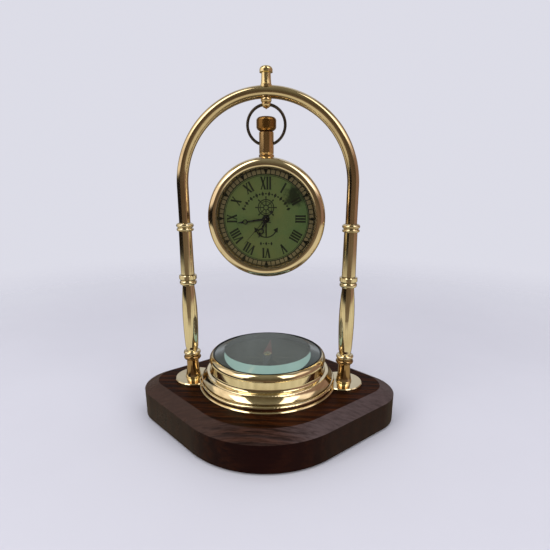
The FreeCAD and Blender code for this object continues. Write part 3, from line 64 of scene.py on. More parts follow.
class Shader:
    """A material or world under construction, with short calls for the nodes they share.

    A value passed to these calls is a number, a colour of three parts or another node's output."""

    def __init__(self, name, world=False):
        owner = bpy.data.worlds if world else bpy.data.materials
        self.material = owner.new(name)
        self.material.use_nodes = True
        self.tree = self.material.node_tree
        self.tree.nodes.clear()
        self.output = self.add("ShaderNodeOutputWorld" if world else "ShaderNodeOutputMaterial")
        self.point = self.add("ShaderNodeTexCoord").outputs["Generated" if world else "Object"]

    def add(self, kind, **settings):
        node = self.tree.nodes.new(kind)
        for key, value in settings.items():
            setattr(node, key, value)
        return node

    def link(self, source, target):
        if isinstance(source, tuple):
            target.default_value = (*source, 1.0)
        elif isinstance(source, (int, float)):
            target.default_value = source
        else:
            self.tree.links.new(source, target)

    def fill(self, node, **inputs):
        """Sets or links a node's inputs by name, with _ for each space in the name."""
        for name, source in inputs.items():
            self.link(source, node.inputs[name.replace("_", " ")])
        return node

    def close(self, shader):
        """Makes the shader the surface, and returns the finished material or world."""
        self.link(shader, self.output.inputs["Surface"])
        return self.material

    # coordinates

    def scaled(self, x, y, z):
        node = self.fill(self.add("ShaderNodeMapping"), Vector=self.point)
        node.inputs["Scale"].default_value = (x, y, z)
        return node.outputs["Vector"]

    def split(self, source=None):
        node = self.fill(self.add("ShaderNodeSeparateXYZ"), Vector=source or self.point)
        return node.outputs["X"], node.outputs["Y"], node.outputs["Z"]

    def radius(self, across, up):
        """Distance from the axis, given the two coordinates square to it."""
        return self.math("SQRT", self.plus(self.times(across, across), self.times(up, up)))

    # values

    def math(self, operation, *values):
        node = self.add("ShaderNodeMath", operation=operation)
        for place, value in enumerate(values):
            self.link(value, node.inputs[place])
        return node.outputs["Value"]

    def plus(self, first, second):
        return self.math("ADD", first, second)

    def minus(self, first, second):
        return self.math("SUBTRACT", first, second)

    def times(self, first, second):
        return self.math("MULTIPLY", first, second)

    def invert(self, value):
        return self.minus(1.0, value)

    def step(self, value, low, high):
        """Smooth step from 0 at low to 1 at high."""
        node = self.add("ShaderNodeMapRange", interpolation_type="SMOOTHSTEP")
        return self.fill(node, Value=value, From_Min=low, From_Max=high).outputs["Result"]

    def band(self, value, middle, half, soft):
        """1 within half of the middle, fading to 0 over the soft width outside it."""
        away = self.math("ABSOLUTE", self.minus(value, middle))
        return self.invert(self.step(away, half, half + soft))

    def noise(self, vector, scale, detail=4.0, rough=0.55, distortion=0.0):
        node = self.add("ShaderNodeTexNoise")
        self.fill(node, Vector=vector, Scale=scale, Detail=detail, Roughness=rough, Distortion=distortion)
        return node.outputs["Fac"]

    def ramp(self, source, *stops):
        """stops: (position, value or colour) pairs."""
        node = self.fill(self.add("ShaderNodeValToRGB"), Fac=source)
        ramp = node.color_ramp
        while len(ramp.elements) < len(stops):
            ramp.elements.new(0.5)
        for element, (position, colour) in zip(ramp.elements, stops):
            if isinstance(colour, (int, float)):
                colour = (colour, colour, colour)
            element.position = position
            element.color = (*colour, 1.0)
        return node.outputs["Color"]

    def mix(self, factor, first, second, blend="MIX"):
        node = self.add("ShaderNodeMix", data_type="RGBA", blend_type=blend)
        self.link(factor, node.inputs["Factor"])
        for place, value in zip(MIX_INPUTS, (first, second)):
            self.link(value, node.inputs[place])
        return node.outputs[MIX_OUTPUT]

    # surfaces

    def bump(self, height, strength, distance):
        node = self.fill(self.add("ShaderNodeBump"), Height=height, Strength=strength, Distance=distance)
        return node.outputs["Normal"]

    def simple(self, kind, colour, **inputs):
        """A shader of one colour: transparent, glossy, glass or background."""
        return self.fill(self.add(kind), Color=colour, **inputs).outputs[0]

    def principled(self, colour, rough, metallic=0.0, **extra):
        node = self.add("ShaderNodeBsdfPrincipled")
        self.fill(node, Base_Color=colour, Roughness=rough, Metallic=metallic, **extra)
        return node.outputs["BSDF"]

    def choose(self, factor, first, second):
        """The first shader where the factor is 0, the second where it is 1."""
        node = self.add("ShaderNodeMixShader")
        for place, source in enumerate((factor, first, second)):
            self.link(source, node.inputs[place])
        return node.outputs[0]


# ------------------------------------------------------------------ metals

TARNISH_SHARE = 0.75            # how far a tarnished patch goes to the dull colour
CREVICE_REACH = 1.2 * MM
CREVICE_ROUGH = 0.25            # roughness that a crevice adds
# painted shade: the colour that ambient occlusion paints into crevices
CREVICE_SHADE_SHARE = 0.12                    # a crevice's colour, as a share of the dull colour
# painted shade: the black of the shadowed gap where the compass glass is seated
SEAM_SHADE_BLACK = (0.010, 0.012, 0.010)
SEAM_SHADE_SOFT = 0.1 * MM
HOLLOW_BROWN = (0.34, 0.20, 0.075)
HOLLOW_SHARE = 0.9
HOLLOW_SOFT = 1.6 * MM
HOLLOW_RAGGED = 1.5 * MM
SCRATCH_DEPTH = 0.012 * MM
SCRATCH_ROUGH = 0.03


def metal(name, bright, dull, rough=(0.04, 0.12), patch=90.0, tarnish=(0.45, 0.75), scratch=0.10,
          crevice_shade=0.7, shade_seam=None, neck=None):
    """Worked metal: cloudy tarnish, painted shade that darkens the crevices found by ambient occlusion, fine
    handling scratches.

    The shaded seam is the radius about the compass axis inside which the metal is painted black, as painted
    shade for the shadowed gap round the glass. neck is the (middle, half) height of a hollow painted a
    darker brown."""
    s = Shader(name)
    cloud = s.noise(s.point, patch, 6.0, 0.6)
    patches = s.ramp(cloud, (tarnish[0], 0.0), (tarnish[1], 1.0))
    colour = s.mix(s.times(patches, TARNISH_SHARE), bright, dull)
    occlusion = s.fill(s.add("ShaderNodeAmbientOcclusion", samples=6), Distance=CREVICE_REACH)
    shade = s.ramp(occlusion.outputs["AO"], (0.30, 1.0), (0.80, 0.0))
    # painted shade: crevices found by ambient occlusion are darkened toward a share of the dull colour
    colour = s.mix(s.times(shade, crevice_shade), colour, tuple(CREVICE_SHADE_SHARE * part for part in dull))
    # painted shade: inside the seam radius the metal is painted black, for the shadowed gap round the glass
    if shade_seam:
        x, y, _ = s.split()
        inside = s.invert(s.step(s.radius(x, y), shade_seam - SEAM_SHADE_SOFT, shade_seam + SEAM_SHADE_SOFT))
        colour = s.mix(inside, colour, SEAM_SHADE_BLACK)
    if neck:
        middle, half = neck
        height = s.plus(s.split()[2], s.times(cloud, HOLLOW_RAGGED))
        hollow = s.band(height, middle, half, HOLLOW_SOFT)
        colour = s.mix(s.times(hollow, HOLLOW_SHARE), colour, HOLLOW_BROWN)
    fine = s.noise(s.scaled(1.0, 1.0, 14.0), 900.0, 3.0, 0.7)
    level = s.math("MULTIPLY_ADD", cloud, rough[1] - rough[0], rough[0])
    level = s.plus(level, s.times(shade, CREVICE_ROUGH))
    level = s.plus(level, s.times(fine, SCRATCH_ROUGH))
    normal = s.bump(s.plus(fine, s.noise(s.point, 260.0, 2.0)), scratch, SCRATCH_DEPTH)
    return s.close(s.principled(colour, level, 1.0, Normal=normal))


POLISH = {"bright": (0.91, 0.81, 0.56), "dull": (0.71, 0.57, 0.34), "rough": (0.04, 0.11), "patch": 70.0,
          "scratch": 0.06}
# painted shade: inside this radius the bezel's lip is painted black, for the shadowed gap at the glass's
# seat
BEZEL_SHADE_SEAM = 25.75 * MM                 # the bezel's lip is black inside this radius, round the glass
COLUMN_HOLLOW = (25.5 * MM, 4.4 * MM)   # the stretch above a column's foot that is painted a darker brown

BRASS = metal("finish_polished_brass", **POLISH)
RIM = metal("finish_compass_bezel", shade_seam=BEZEL_SHADE_SEAM, **POLISH)
POST = metal("finish_column_brass", neck=COLUMN_HOLLOW, **POLISH)
AGED = metal("finish_antique_brass", (0.83, 0.70, 0.46), (0.55, 0.41, 0.25), (0.05, 0.12), 80.0,
             tarnish=(0.42, 0.75), scratch=0.05)
CASE = metal("finish_case_brass", (0.92, 0.80, 0.57), (0.74, 0.57, 0.38), (0.04, 0.10), 60.0,
             tarnish=(0.48, 0.80), scratch=0.06, crevice_shade=0.15)
NECK = metal("finish_neck_brass", (0.84, 0.60, 0.31), (0.55, 0.36, 0.17), (0.08, 0.18), 140.0,
             scratch=0.04, crevice_shade=0.4)
STUD = metal("finish_stud_brass", (0.95, 0.80, 0.46), (0.70, 0.52, 0.26), (0.14, 0.22), 110.0,
             scratch=0.03, crevice_shade=0.4)
HOOK = metal("finish_hanger_brass", (0.80, 0.62, 0.36), (0.50, 0.35, 0.18), (0.12, 0.20), 110.0,
             scratch=0.03)
CROWN = metal("finish_crown", (0.35, 0.195, 0.062), (0.22, 0.11, 0.038), (0.22, 0.32), 180.0,
              scratch=0.02, crevice_shade=0.15)
BRONZE = metal("finish_dark_bronze", (0.10, 0.085, 0.075), (0.045, 0.038, 0.033), (0.26, 0.45), 200.0)
STEEL = metal("finish_steel", (0.60, 0.60, 0.60), (0.36, 0.35, 0.34), (0.16, 0.32), 220.0, scratch=0.4)
NICKEL = metal("finish_nickel", (0.72, 0.69, 0.62), (0.50, 0.46, 0.38), (0.12, 0.26), 180.0)
COPPER = metal("finish_copper", (0.68, 0.27, 0.12), (0.38, 0.13, 0.06), (0.25, 0.40), 500.0, scratch=0.8)


# ------------------------------------------------------------------ wood, felt and paint

GRAIN_DARK = (0.0030, 0.0010, 0.0006)
GRAIN_RED = (0.048, 0.0130, 0.0030)
FIGURE_DARK = (0.0045, 0.0015, 0.0010)
DRIFT_RED = (0.036, 0.009, 0.004)
PORE_BLACK = (0.003, 0.0012, 0.0010)
FLANK_RED = (0.0085, 0.0024, 0.0026)
# painted sheen: bevel colours that stand in for light reflected off the lacquer, brighter on the right where
# the light falls, darker along the grain
PAINTED_SHEEN_LEFT = (0.046, 0.026, 0.020)
PAINTED_SHEEN_RIGHT = (0.074, 0.052, 0.051)
PAINTED_SHEEN_GRAIN = (0.016, 0.010, 0.009)
# The faces of the base are told apart by their normals: lift is the part of one that points up,
# turn the part that points to the side.
BEVEL_LIFT = 0.894
BEVEL_SPREAD = (0.035, 0.03)    # half width and soft edge of the lifts that are bevel
FLANK_LIFT = (0.20, 0.60)
SHEEN_TURN = (-0.30, 0.34)       # from the painted sheen on the left to the brighter one on the right
END_TURN = (0.05, 0.36)         # from the long bevels to the end ones, which get more painted sheen


def rosewood():
    """Near-black rosewood: long grain on top, a bevel greyed by painted sheen, and darker, redder flanks."""
    s = Shader("finish_rosewood")
    streak = s.noise(s.scaled(1.0, 15.0, 10.0), 70.0, 6.0, 0.68, 0.4)
    drift = s.noise(s.scaled(1.0, 2.6, 2.6), 16.0, 3.0, 0.5)
    figure = s.add("ShaderNodeTexWave", wave_type="BANDS", bands_direction="Y")
    s.fill(figure, Vector=s.scaled(0.08, 1.0, 0.8), Scale=75.0, Distortion=7.0, Detail=4.0, Detail_Scale=1.2)
    tone = s.mix(s.ramp(streak, (0.38, 0.0), (0.62, 1.0)), GRAIN_DARK, GRAIN_RED)
    tone = s.mix(s.ramp(figure.outputs["Fac"], (0.40, 0.0), (0.90, 0.75)), tone, FIGURE_DARK)
    tone = s.mix(s.ramp(drift, (0.45, 0.0), (0.75, 0.55)), tone, DRIFT_RED)
    pores = s.ramp(s.noise(s.scaled(1.0, 24.0, 24.0), 380.0, 2.0, 0.6), (0.58, 0.0), (0.66, 1.0))
    tone = s.mix(s.times(pores, 0.7), tone, PORE_BLACK)

    across, _, lift = s.split(s.add("ShaderNodeNewGeometry").outputs["Normal"])
    turned = s.math("ABSOLUTE", across)
    flank = s.invert(s.step(lift, *FLANK_LIFT))
    tone = s.mix(s.times(flank, 0.75), tone, FLANK_RED)
    # painted sheen: the bevel's colour is greyed toward a sheen that differs left and right, broken by the
    # grain
    bevel = s.band(lift, BEVEL_LIFT, *BEVEL_SPREAD)
    sheen_haze = s.mix(s.step(across, *SHEEN_TURN), PAINTED_SHEEN_LEFT, PAINTED_SHEEN_RIGHT)
    sheen_haze = s.mix(s.ramp(streak, (0.36, 0.5), (0.60, 0.0)), sheen_haze, PAINTED_SHEEN_GRAIN)
    share = s.plus(s.ramp(streak, (0.40, 0.04), (0.60, 0.36)), s.step(turned, *END_TURN))
    tone = s.mix(s.times(bevel, s.math("MINIMUM", share, 0.95)), tone, sheen_haze)

    gloss = s.plus(0.025, s.times(s.times(turned, flank), 0.05))
    gloss = s.plus(gloss, s.times(bevel, 0.10))
    rough = s.ramp(s.noise(s.point, 60.0, 5.0, 0.6), (0.25, 0.22), (0.75, 0.40))
    normal = s.bump(s.minus(s.times(streak, 0.5), pores), 0.45, 0.05 * MM)
    return s.close(s.principled(tone, rough, Normal=normal, Specular_IOR_Level=gloss))


def felt_finish():
    """Dark green felt: fine crossing fibres over loose tufts."""
    s = Shader("finish_felt")
    fibre = s.noise(s.point, 1400.0, 5.0, 0.75, 1.5)
    tuft = s.noise(s.point, 160.0, 4.0, 0.6)
    colour = s.mix(fibre, (0.010, 0.018, 0.012), (0.040, 0.060, 0.042))
    colour = s.mix(s.times(tuft, 0.4), colour, (0.020, 0.030, 0.022))
    normal = s.bump(s.plus(fibre, tuft), 0.9, 0.12 * MM)
    return s.close(s.principled(colour, 0.95, Normal=normal, Sheen_Weight=0.6, Sheen_Roughness=0.5))


def paint(name, low, high, rough, scale, bump=0.12, metallic=0.0):
    """Moulded, printed or lacquered surface with slight mottling."""
    s = Shader(name)
    cloud = s.noise(s.point, scale, 5.0, 0.6)
    level = s.ramp(cloud, (0.3, rough[0]), (0.7, rough[1]))
    normal = s.bump(s.noise(s.point, scale * 8, 2.0), bump, 0.02 * MM)
    return s.close(s.principled(s.mix(cloud, low, high), level, metallic, Normal=normal))


def needle_finish():
    """Steel needle blackened on one half and lacquered red on the north half."""
    s = Shader("finish_needle")
    north = s.math("GREATER_THAN", s.split()[1], 0.0)
    cloud = s.noise(s.point, 300.0, 4.0)
    red = s.mix(cloud, (0.10, 0.012, 0.008), (0.16, 0.022, 0.014))
    black = s.mix(cloud, (0.02, 0.02, 0.025), (0.05, 0.05, 0.06))
    level = s.ramp(cloud, (0.3, 0.25), (0.7, 0.4))
    return s.close(s.principled(s.mix(north, black, red), level, 0.3, Normal=s.bump(cloud, 0.1, 0.02 * MM)))


WOOD = rosewood()
FELT = felt_finish()
BLACK = paint("finish_black_steel", (0.006, 0.006, 0.007), (0.016, 0.015, 0.015), (0.22, 0.36), 600.0,
              bump=0.08, metallic=0.2)
INK = paint("finish_ink", (0.002, 0.003, 0.002), (0.007, 0.007, 0.004), (0.6, 0.75), 900.0)
GASKET = paint("finish_gasket", (0.10, 0.070, 0.036), (0.15, 0.105, 0.055), (0.4, 0.6), 400.0)
RUBBER = paint("finish_rubber", (0.012, 0.012, 0.012), (0.03, 0.03, 0.03), (0.6, 0.8), 500.0, bump=0.3)
CARD = paint("finish_compass_card", (0.016, 0.016, 0.014), (0.034, 0.032, 0.027), (0.5, 0.7), 90.0)
CARD_INK = paint("finish_card_ink", (0.055, 0.050, 0.038), (0.080, 0.072, 0.052), (0.5, 0.65), 400.0)
PLASTIC = paint("finish_plastic", (0.55, 0.55, 0.50), (0.70, 0.69, 0.64), (0.4, 0.55), 400.0, bump=0.25)
BOARD = paint("finish_board", (0.02, 0.10, 0.05), (0.04, 0.16, 0.08), (0.25, 0.4), 300.0)
EPOXY = paint("finish_epoxy", (0.010, 0.010, 0.011), (0.03, 0.03, 0.032), (0.45, 0.6), 700.0, bump=0.3)


# ------------------------------------------------------------------ dial

OLIVE = (0.065, 0.102, 0.033)
YELLOWED = (0.108, 0.116, 0.035)
RING_BROWNS = ((0.100, 0.069, 0.031), (0.215, 0.160, 0.080))
RING_EDGE = (17.9 * MM, 18.4 * MM)      # where the green gives way to the chapter ring's brown
STAIN_SPOT = (11.3 * MM, 9.2 * MM)      # to the right of the dial's middle, and above it
STAIN_EDGE = (6.8 * MM, 10.0 * MM)
STAIN_RAGGED = 10.0 * MM
STAIN_BLACK = (0.007, 0.011, 0.004)
SPECK = (0.03, 0.03, 0.012)


def dial_paint():
    """Aged green dial: cloudy olive, one dark stain near two, browned toward the chapter ring."""
    s = Shader("finish_dial")
    x, _, z = s.split()
    up = s.minus(z, WATCH_Z)
    cloud = s.noise(s.point, 45.0, 5.0, 0.6)
    green = s.mix(s.ramp(cloud, (0.35, 0.0), (0.65, 1.0)), OLIVE, YELLOWED)
    brown = s.mix(s.noise(s.point, 240.0, 4.0, 0.6), *RING_BROWNS)
    colour = s.mix(s.step(s.radius(x, up), *RING_EDGE), green, brown)
    away = s.radius(s.minus(x, STAIN_SPOT[0]), s.minus(up, STAIN_SPOT[1]))
    ragged = s.times(s.noise(s.point, 240.0, 6.0, 0.7), STAIN_RAGGED)
    stain = s.invert(s.step(s.plus(away, ragged), *STAIN_EDGE))
    colour = s.mix(s.times(stain, 0.95), colour, STAIN_BLACK)
    specks = s.ramp(s.noise(s.point, 900.0, 2.0), (0.66, 0.0), (0.74, 1.0))
    colour = s.mix(s.times(specks, 0.4), colour, SPECK)
    level = s.ramp(s.noise(s.point, 150.0), (0.3, 0.38), (0.7, 0.55))
    normal = s.bump(s.noise(s.point, 1500.0, 2.0), 0.15, 0.01 * MM)
    return s.close(s.principled(colour, level, 0.15, Normal=normal))


# ------------------------------------------------------------------ glass

GLASS_FLAT = 20.4 * MM      # radius of the compass glass's flat top, where its ground bevel begins
BEVEL_SOFT = 0.05 * MM
BEVEL_COVER = 0.85
# painted light: the bevel is painted with an aqua crescent of refracted light where it faces the eye
CRESCENT_EDGE = (0.395, 0.415)      # the bevel turns aqua where it faces the eye by more than this
CRESCENT_TAPER = 0.29               # and by so much more at its outer edge
# facings between which the bevel's painted grey turns to painted shade
GREY_EDGE = (0.28, 0.40)
CRYSTAL_SHEEN = 0.12
# painted light: the crescent's aqua, and the bevel's grey and dark, stand in for light refracted and shaded
# in the ground bevel
PAINTED_CRESCENT_LOW = (0.21, 0.34, 0.295)
PAINTED_CRESCENT_HIGH = (0.30, 0.44, 0.385)
PAINTED_BEVEL_GREY = (0.16, 0.19, 0.19)
PAINTED_BEVEL_SHADE = (0.040, 0.055, 0.052)


def compass_glass():
    """Thick clear glass; its ground bevel is painted: a pale aqua crescent of refracted light where it faces
    the eye, and grey turning to painted shade elsewhere.
    """
    s = Shader("finish_compass_glass")
    sheen_haze = s.ramp(s.noise(s.point, 40.0, 4.0), (0.4, 0.0), (0.8, 0.03))
    ripple = s.bump(s.noise(s.point, 30.0, 2.0), 0.04, 0.05 * MM)
    body = s.simple("ShaderNodeBsdfGlass", (0.82, 0.86, 0.83), Roughness=sheen_haze, IOR=1.52, Normal=ripple)

    x, y, _ = s.split()
    radius = s.radius(x, y)
    view = s.add("ShaderNodeNewGeometry")
    dot = s.add("ShaderNodeVectorMath", operation="DOT_PRODUCT")
    s.link(view.outputs["Normal"], dot.inputs[0])
    s.link(view.outputs["Incoming"], dot.inputs[1])
    facing = dot.outputs["Value"]
    bevel = s.step(radius, GLASS_FLAT - BEVEL_SOFT, GLASS_FLAT + BEVEL_SOFT)
    bevel = s.times(bevel, s.invert(view.outputs["Backfacing"]))
    reach = s.math("DIVIDE", s.minus(radius, GLASS_FLAT), GLASS_RIM - GLASS_FLAT)
    # painted light on the bevel: an aqua crescent of refracted light where it faces the eye, painted grey to
    # shade elsewhere
    crescent = s.step(s.minus(facing, s.times(reach, CRESCENT_TAPER)), *CRESCENT_EDGE)
    shade = s.mix(s.step(facing, *GREY_EDGE), PAINTED_BEVEL_GREY, PAINTED_BEVEL_SHADE)
    crescent_glow = s.mix(s.noise(s.point, 70.0, 4.0), PAINTED_CRESCENT_LOW, PAINTED_CRESCENT_HIGH)
    painted_bevel = s.principled(s.mix(crescent, shade, crescent_glow), 0.07, Coat_Weight=0.3)
    glass = s.choose(s.times(bevel, BEVEL_COVER), body, painted_bevel)

    clear = s.simple("ShaderNodeBsdfTransparent", (0.90, 0.93, 0.92))
    return s.close(s.choose(s.add("ShaderNodeLightPath").outputs["Is Shadow Ray"], glass, clear))


def watch_crystal():
    """Thin domed crystal: nearly clear, with a faint uneven sheen."""
    s = Shader("finish_crystal")
    level = s.ramp(s.noise(s.point, 120.0, 3.0), (0.4, 0.02), (0.8, 0.07))
    gloss = s.simple("ShaderNodeBsdfGlossy", (1.0, 1.0, 1.0), Roughness=level)
    clear = s.simple("ShaderNodeBsdfTransparent", (0.95, 0.97, 0.94))
    fresnel = s.fill(s.add("ShaderNodeFresnel"), IOR=1.45)
    return s.close(s.choose(s.times(fresnel.outputs["Fac"], CRYSTAL_SHEEN), clear, gloss))


# ------------------------------------------------------------------ finishes on the CAD pieces

FINISHES = {
    "rosewood": WOOD, "felt": FELT, "polished_brass": BRASS, "antique_brass": AGED, "dark_bronze": BRONZE,
    "steel": STEEL, "black_steel": BLACK, "clear_glass": compass_glass(), "rubber": RUBBER,
    "compass_card": CARD, "green_dial": dial_paint(), "plastic": PLASTIC, "nickel": NICKEL,
    "copper": COPPER, "board": BOARD, "black_epoxy": EPOXY,
}
# pieces whose finish differs from the rest of their material slot
SPECIAL = {
    "crystal": watch_crystal(), "crystal_gasket": GASKET, "watch_bezel": CASE, "watch_case": CASE,
    "back_cover": CASE, "pendant_neck": NECK, "crown": CROWN, "finial": STUD, "hanger": HOOK,
    "compass_needle": needle_finish(), "compass_bezel": RIM, "left_column": POST, "right_column": POST,
}


def finish_nodes():
    """Gives each CAD piece its finish, by its own name or else by its material slot."""
    for entry in frame["record"]["subparts"]:
        slots = NODES[entry["node"]].data.materials
        slots.clear()
        slots.append(SPECIAL.get(entry["node"], FINISHES[entry["material_slot"]]))


# ------------------------------------------------------------------ mesh helpers

def new_object(mesh, name, material):
    """An object of that name from a finished bmesh, linked to the scene."""
    data = bpy.data.meshes.new(name)
    mesh.to_mesh(data)
    mesh.free()
    data.materials.append(material)
    item = bpy.data.objects.new(name, data)
    bpy.context.scene.collection.objects.link(item)
    return item


def bridge(mesh, first, second):
    """Faces between two closed loops of as many vertices."""
    for k in range(len(first)):
        after = (k + 1) % len(first)
        mesh.faces.new((first[k], first[after], second[after], second[k]))


def circle_points(centre, radius, steps):
    turns = [2 * math.pi * k / steps for k in range(steps)]
    return [(centre[0] + radius * math.cos(turn), centre[1] + radius * math.sin(turn)) for turn in turns]


# ------------------------------------------------------------------ printed work, as thin raised ink

class Ink:
    """Flat convex shapes, in mm, collected in one plane and raised a hair off it."""

    THICK = 0.03 * MM

    def __init__(self, place):
        self.mesh = bmesh.new()
        self.place = place

    def loop(self, points, lift):
        return [self.mesh.verts.new(self.place(x * MM, y * MM, lift)) for x, y in points]

    def shape(self, points):
        """points: one convex outline."""
        low = self.loop(points, 0.0)
        high = self.loop(points, self.THICK)
        self.mesh.faces.new(reversed(low))
        self.mesh.faces.new(high)
        bridge(self.mesh, low, high)

    def bar(self, start, end, width, end_width=None):
        start, end = Vector(start), Vector(end)
        side = (end - start).orthogonal().normalized()
        near, far = side * width / 2, side * (end_width or width) / 2
        self.shape([start - near, end - far, end + far, start + near])

    def ring(self, radius, width, steps=120, centre=(0.0, 0.0)):
        """One closed band, so it has no seams."""
        inner, outer = radius - width / 2, radius + width / 2
        corners = ((inner, 0.0), (outer, 0.0), (outer, self.THICK), (inner, self.THICK))
        loops = [self.loop(circle_points(centre, reach, steps), lift) for reach, lift in corners]
        for first, second in zip(loops, loops[1:] + loops[:1]):
            bridge(self.mesh, first, second)

    def disc(self, centre, radius, steps=8):
        self.shape(circle_points(centre, radius, steps))

    def done(self, name, material, body):
        bmesh.ops.recalc_face_normals(self.mesh, faces=self.mesh.faces)
        item = new_object(self.mesh, name, material)
        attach(item, body)


def clock_point(radius, clockwise):
    """The point at that radius, so many degrees clockwise from the top."""
    angle = math.radians(90 - clockwise)
    return radius * math.cos(angle), radius * math.sin(angle)


def on_dial(x, y, lift):
    return Vector((x, DIAL_FRONT - lift, WATCH_Z + y))


def on_card(x, y, lift):
    return Vector((x, y, CARD_TOP + lift))


# Sizes of the print are in mm, its angles in degrees.
NUMERALS = ("XII", "I", "II", "III", "IIII", "V", "VI", "VII", "VIII", "IX", "X", "XI")
ADVANCE = {"I": 1.16, "V": 2.5, "X": 2.45}
NUMERAL_HEIGHT = 4.1
TWELVE_HEIGHT = 4.9
NUMERAL_RADIUS = 14.7
SIDE_GAP = 0.42
STEM = 0.76
HAIR = 0.42
SERIF = 0.32

CHAPTER_RINGS = ((20.3, 0.28), (18.3, 0.40), (17.75, 0.20))     # (radius, width)
MINUTE_INNER = 18.4
MINUTE_OUTER = 20.2
MINUTE_WIDTH = 0.38
MARK_TIP = 18.0         # the triangles at the five minutes point inward to this radius
MARK_HALF = 2.5

WHEEL_UP = 4.7          # the ship's wheel's middle above the dial's
WHEEL_RINGS = ((3.3, 0.42), (2.5, 0.26), (1.0, 0.4))
SPOKE = (1.1, 3.2)
SPOKE_WIDTHS = (0.42, 0.32)
HANDLE = (3.4, 4.6)
HANDLE_WIDTHS = (0.36, 0.62)
SHANK = ((0.0, -1.3), (0.0, -7.6), 0.60)        # (start, end, width)
STOCK = ((-2.0, -1.5), (2.0, -1.5), 0.42)
ARM_RADIUS = 4.6
ARM_MIDDLE = -3.3
ARM_WIDTH = 0.55
FLUKE = ((5.1, -3.6), (3.0, -4.7), (4.9, -5.9))

BORDER_RADIUS = 10.4
BORDER_STEP = 7.4
BORDER_LOZENGE = (1.0, 3.5)     # half its height in mm, and half its width in degrees
BORDER_BEAD = 0.40
ROW_Y = -10.6
ROW_STEP = 1.15
ROW_LOZENGE = (0.5, 0.85)
ROW_BEAD = 0.28

CARD_RINGS = ((23.6, 0.22), (20.4, 0.16), (15.2, 0.16))
CARD_EDGE = 23.4
CARD_MARKS = ((30, 20.5, 0.3), (10, 21.6, 0.16), (5, 22.3, 0.16))       # (every, inner radius, width)
ROSE_TIPS = (14.6, 9.5)
ROSE_FOOT = 2.4
ROSE_SIDE = (2.8, 40)           # the side corner's radius, and its angle from the tip


def numeral_strokes(letter, left, height):
    """Bars of one letter as (start, end, width), with the row's middle at height 0."""
    top, foot = height / 2, -height / 2
    middle = left + ADVANCE[letter] / 2
    inner = ADVANCE[letter] / 2 - SIDE_GAP
    near, far = middle - inner, middle + inner

    def serif(x, level, before, after):
        return (x - before, level), (x + after, level), SERIF

    if letter == "I":
        return [((middle, foot), (middle, top), STEM), serif(middle, top, 0.46, 0.46),
                serif(middle, foot, 0.46, 0.46)]
    if letter == "V":
        return [((near, top), (middle, foot), STEM), ((far, top), (middle, foot), HAIR),
                serif(near, top, 0.36, 0.40), serif(far, top, 0.34, 0.34)]
    return [((near, top), (far, foot), STEM), ((far, top), (near, foot), HAIR),
            serif(near, top, 0.34, 0.40), serif(far, top, 0.36, 0.30),
            serif(near, foot, 0.30, 0.36), serif(far, foot, 0.40, 0.34)]


def print_numerals(ink):
    """Roman hours, upright toward the rim, with a taller twelve."""
    for hour, word in enumerate(NUMERALS):
        height = TWELVE_HEIGHT if hour == 0 else NUMERAL_HEIGHT
        centre = Vector(clock_point(NUMERAL_RADIUS, hour * 30))
        out = centre.normalized()
        across = Vector((out.y, -out.x))
        left = -sum(ADVANCE[letter] for letter in word) / 2
        for letter in word:
            for start, end, width in numeral_strokes(letter, left, height):
                ink.bar(*[centre + across * x + out * y for x, y in (start, end)], width)
            left += ADVANCE[letter]


def print_wheel(ink):
    """A plain ship's wheel, with no handle where the hands' pipes pass through the dial."""
    hub = Vector((0.0, WHEEL_UP))
    for radius, width in WHEEL_RINGS:
        ink.ring(radius, width, 48, hub)
    for angle in range(0, 360, 45):
        spoke = [Vector(clock_point(radius, angle)) + hub for radius in SPOKE]
        ink.bar(*spoke, *SPOKE_WIDTHS)
        if angle != 180:
            handle = [Vector(clock_point(radius, angle)) + hub for radius in HANDLE]
            ink.bar(*handle, *HANDLE_WIDTHS)


def print_anchor(ink):
    """A plain anchor: shank, stock, arms in an arc, and two flukes."""
    ink.bar(*SHANK)
    ink.bar(*STOCK)
    arms = [clock_point(ARM_RADIUS, angle) for angle in range(112, 250, 8)]
    arms = [(x, y + ARM_MIDDLE) for x, y in arms]
    for first, second in zip(arms, arms[1:]):
        ink.bar(first, second, ARM_WIDTH)
    for side in (-1, 1):
        ink.shape([(side * x, y) for x, y in FLUKE])


def print_borders(ink):
    """Lozenges and beads in an arc over the wheel, and in a short row under the anchor."""
    high, wide = BORDER_LOZENGE
    for place in range(-9, 10):
        angle = place * BORDER_STEP
        if place % 2 == 0:
            ink.disc(clock_point(BORDER_RADIUS, angle), BORDER_BEAD)
        else:
            ink.shape([clock_point(BORDER_RADIUS + high, angle), clock_point(BORDER_RADIUS, angle - wide),
                       clock_point(BORDER_RADIUS - high, angle), clock_point(BORDER_RADIUS, angle + wide)])
    wide, high = ROW_LOZENGE
    for place in range(-2, 3):
        x = place * ROW_STEP
        if place % 2 == 0:
            ink.shape([(x - wide, ROW_Y), (x, ROW_Y - high), (x + wide, ROW_Y), (x, ROW_Y + high)])
        else:
            ink.disc((x, ROW_Y), ROW_BEAD)


def print_dial():
    """Rings, minutes, five-minute marks and hours, round a wheel and an anchor."""
    ink = Ink(on_dial)
    for radius, width in CHAPTER_RINGS:
        ink.ring(radius, width)
    for angle in range(0, 360, 6):
        ink.bar(clock_point(MINUTE_INNER, angle), clock_point(MINUTE_OUTER, angle), MINUTE_WIDTH)
    for angle in range(0, 360, 30):
        ink.shape([clock_point(MINUTE_OUTER, angle - MARK_HALF), clock_point(MARK_TIP, angle),
                   clock_point(MINUTE_OUTER, angle + MARK_HALF)])
    print_numerals(ink)
    print_wheel(ink)
    print_anchor(ink)
    print_borders(ink)
    ink.done("dial_print", INK, "watch")


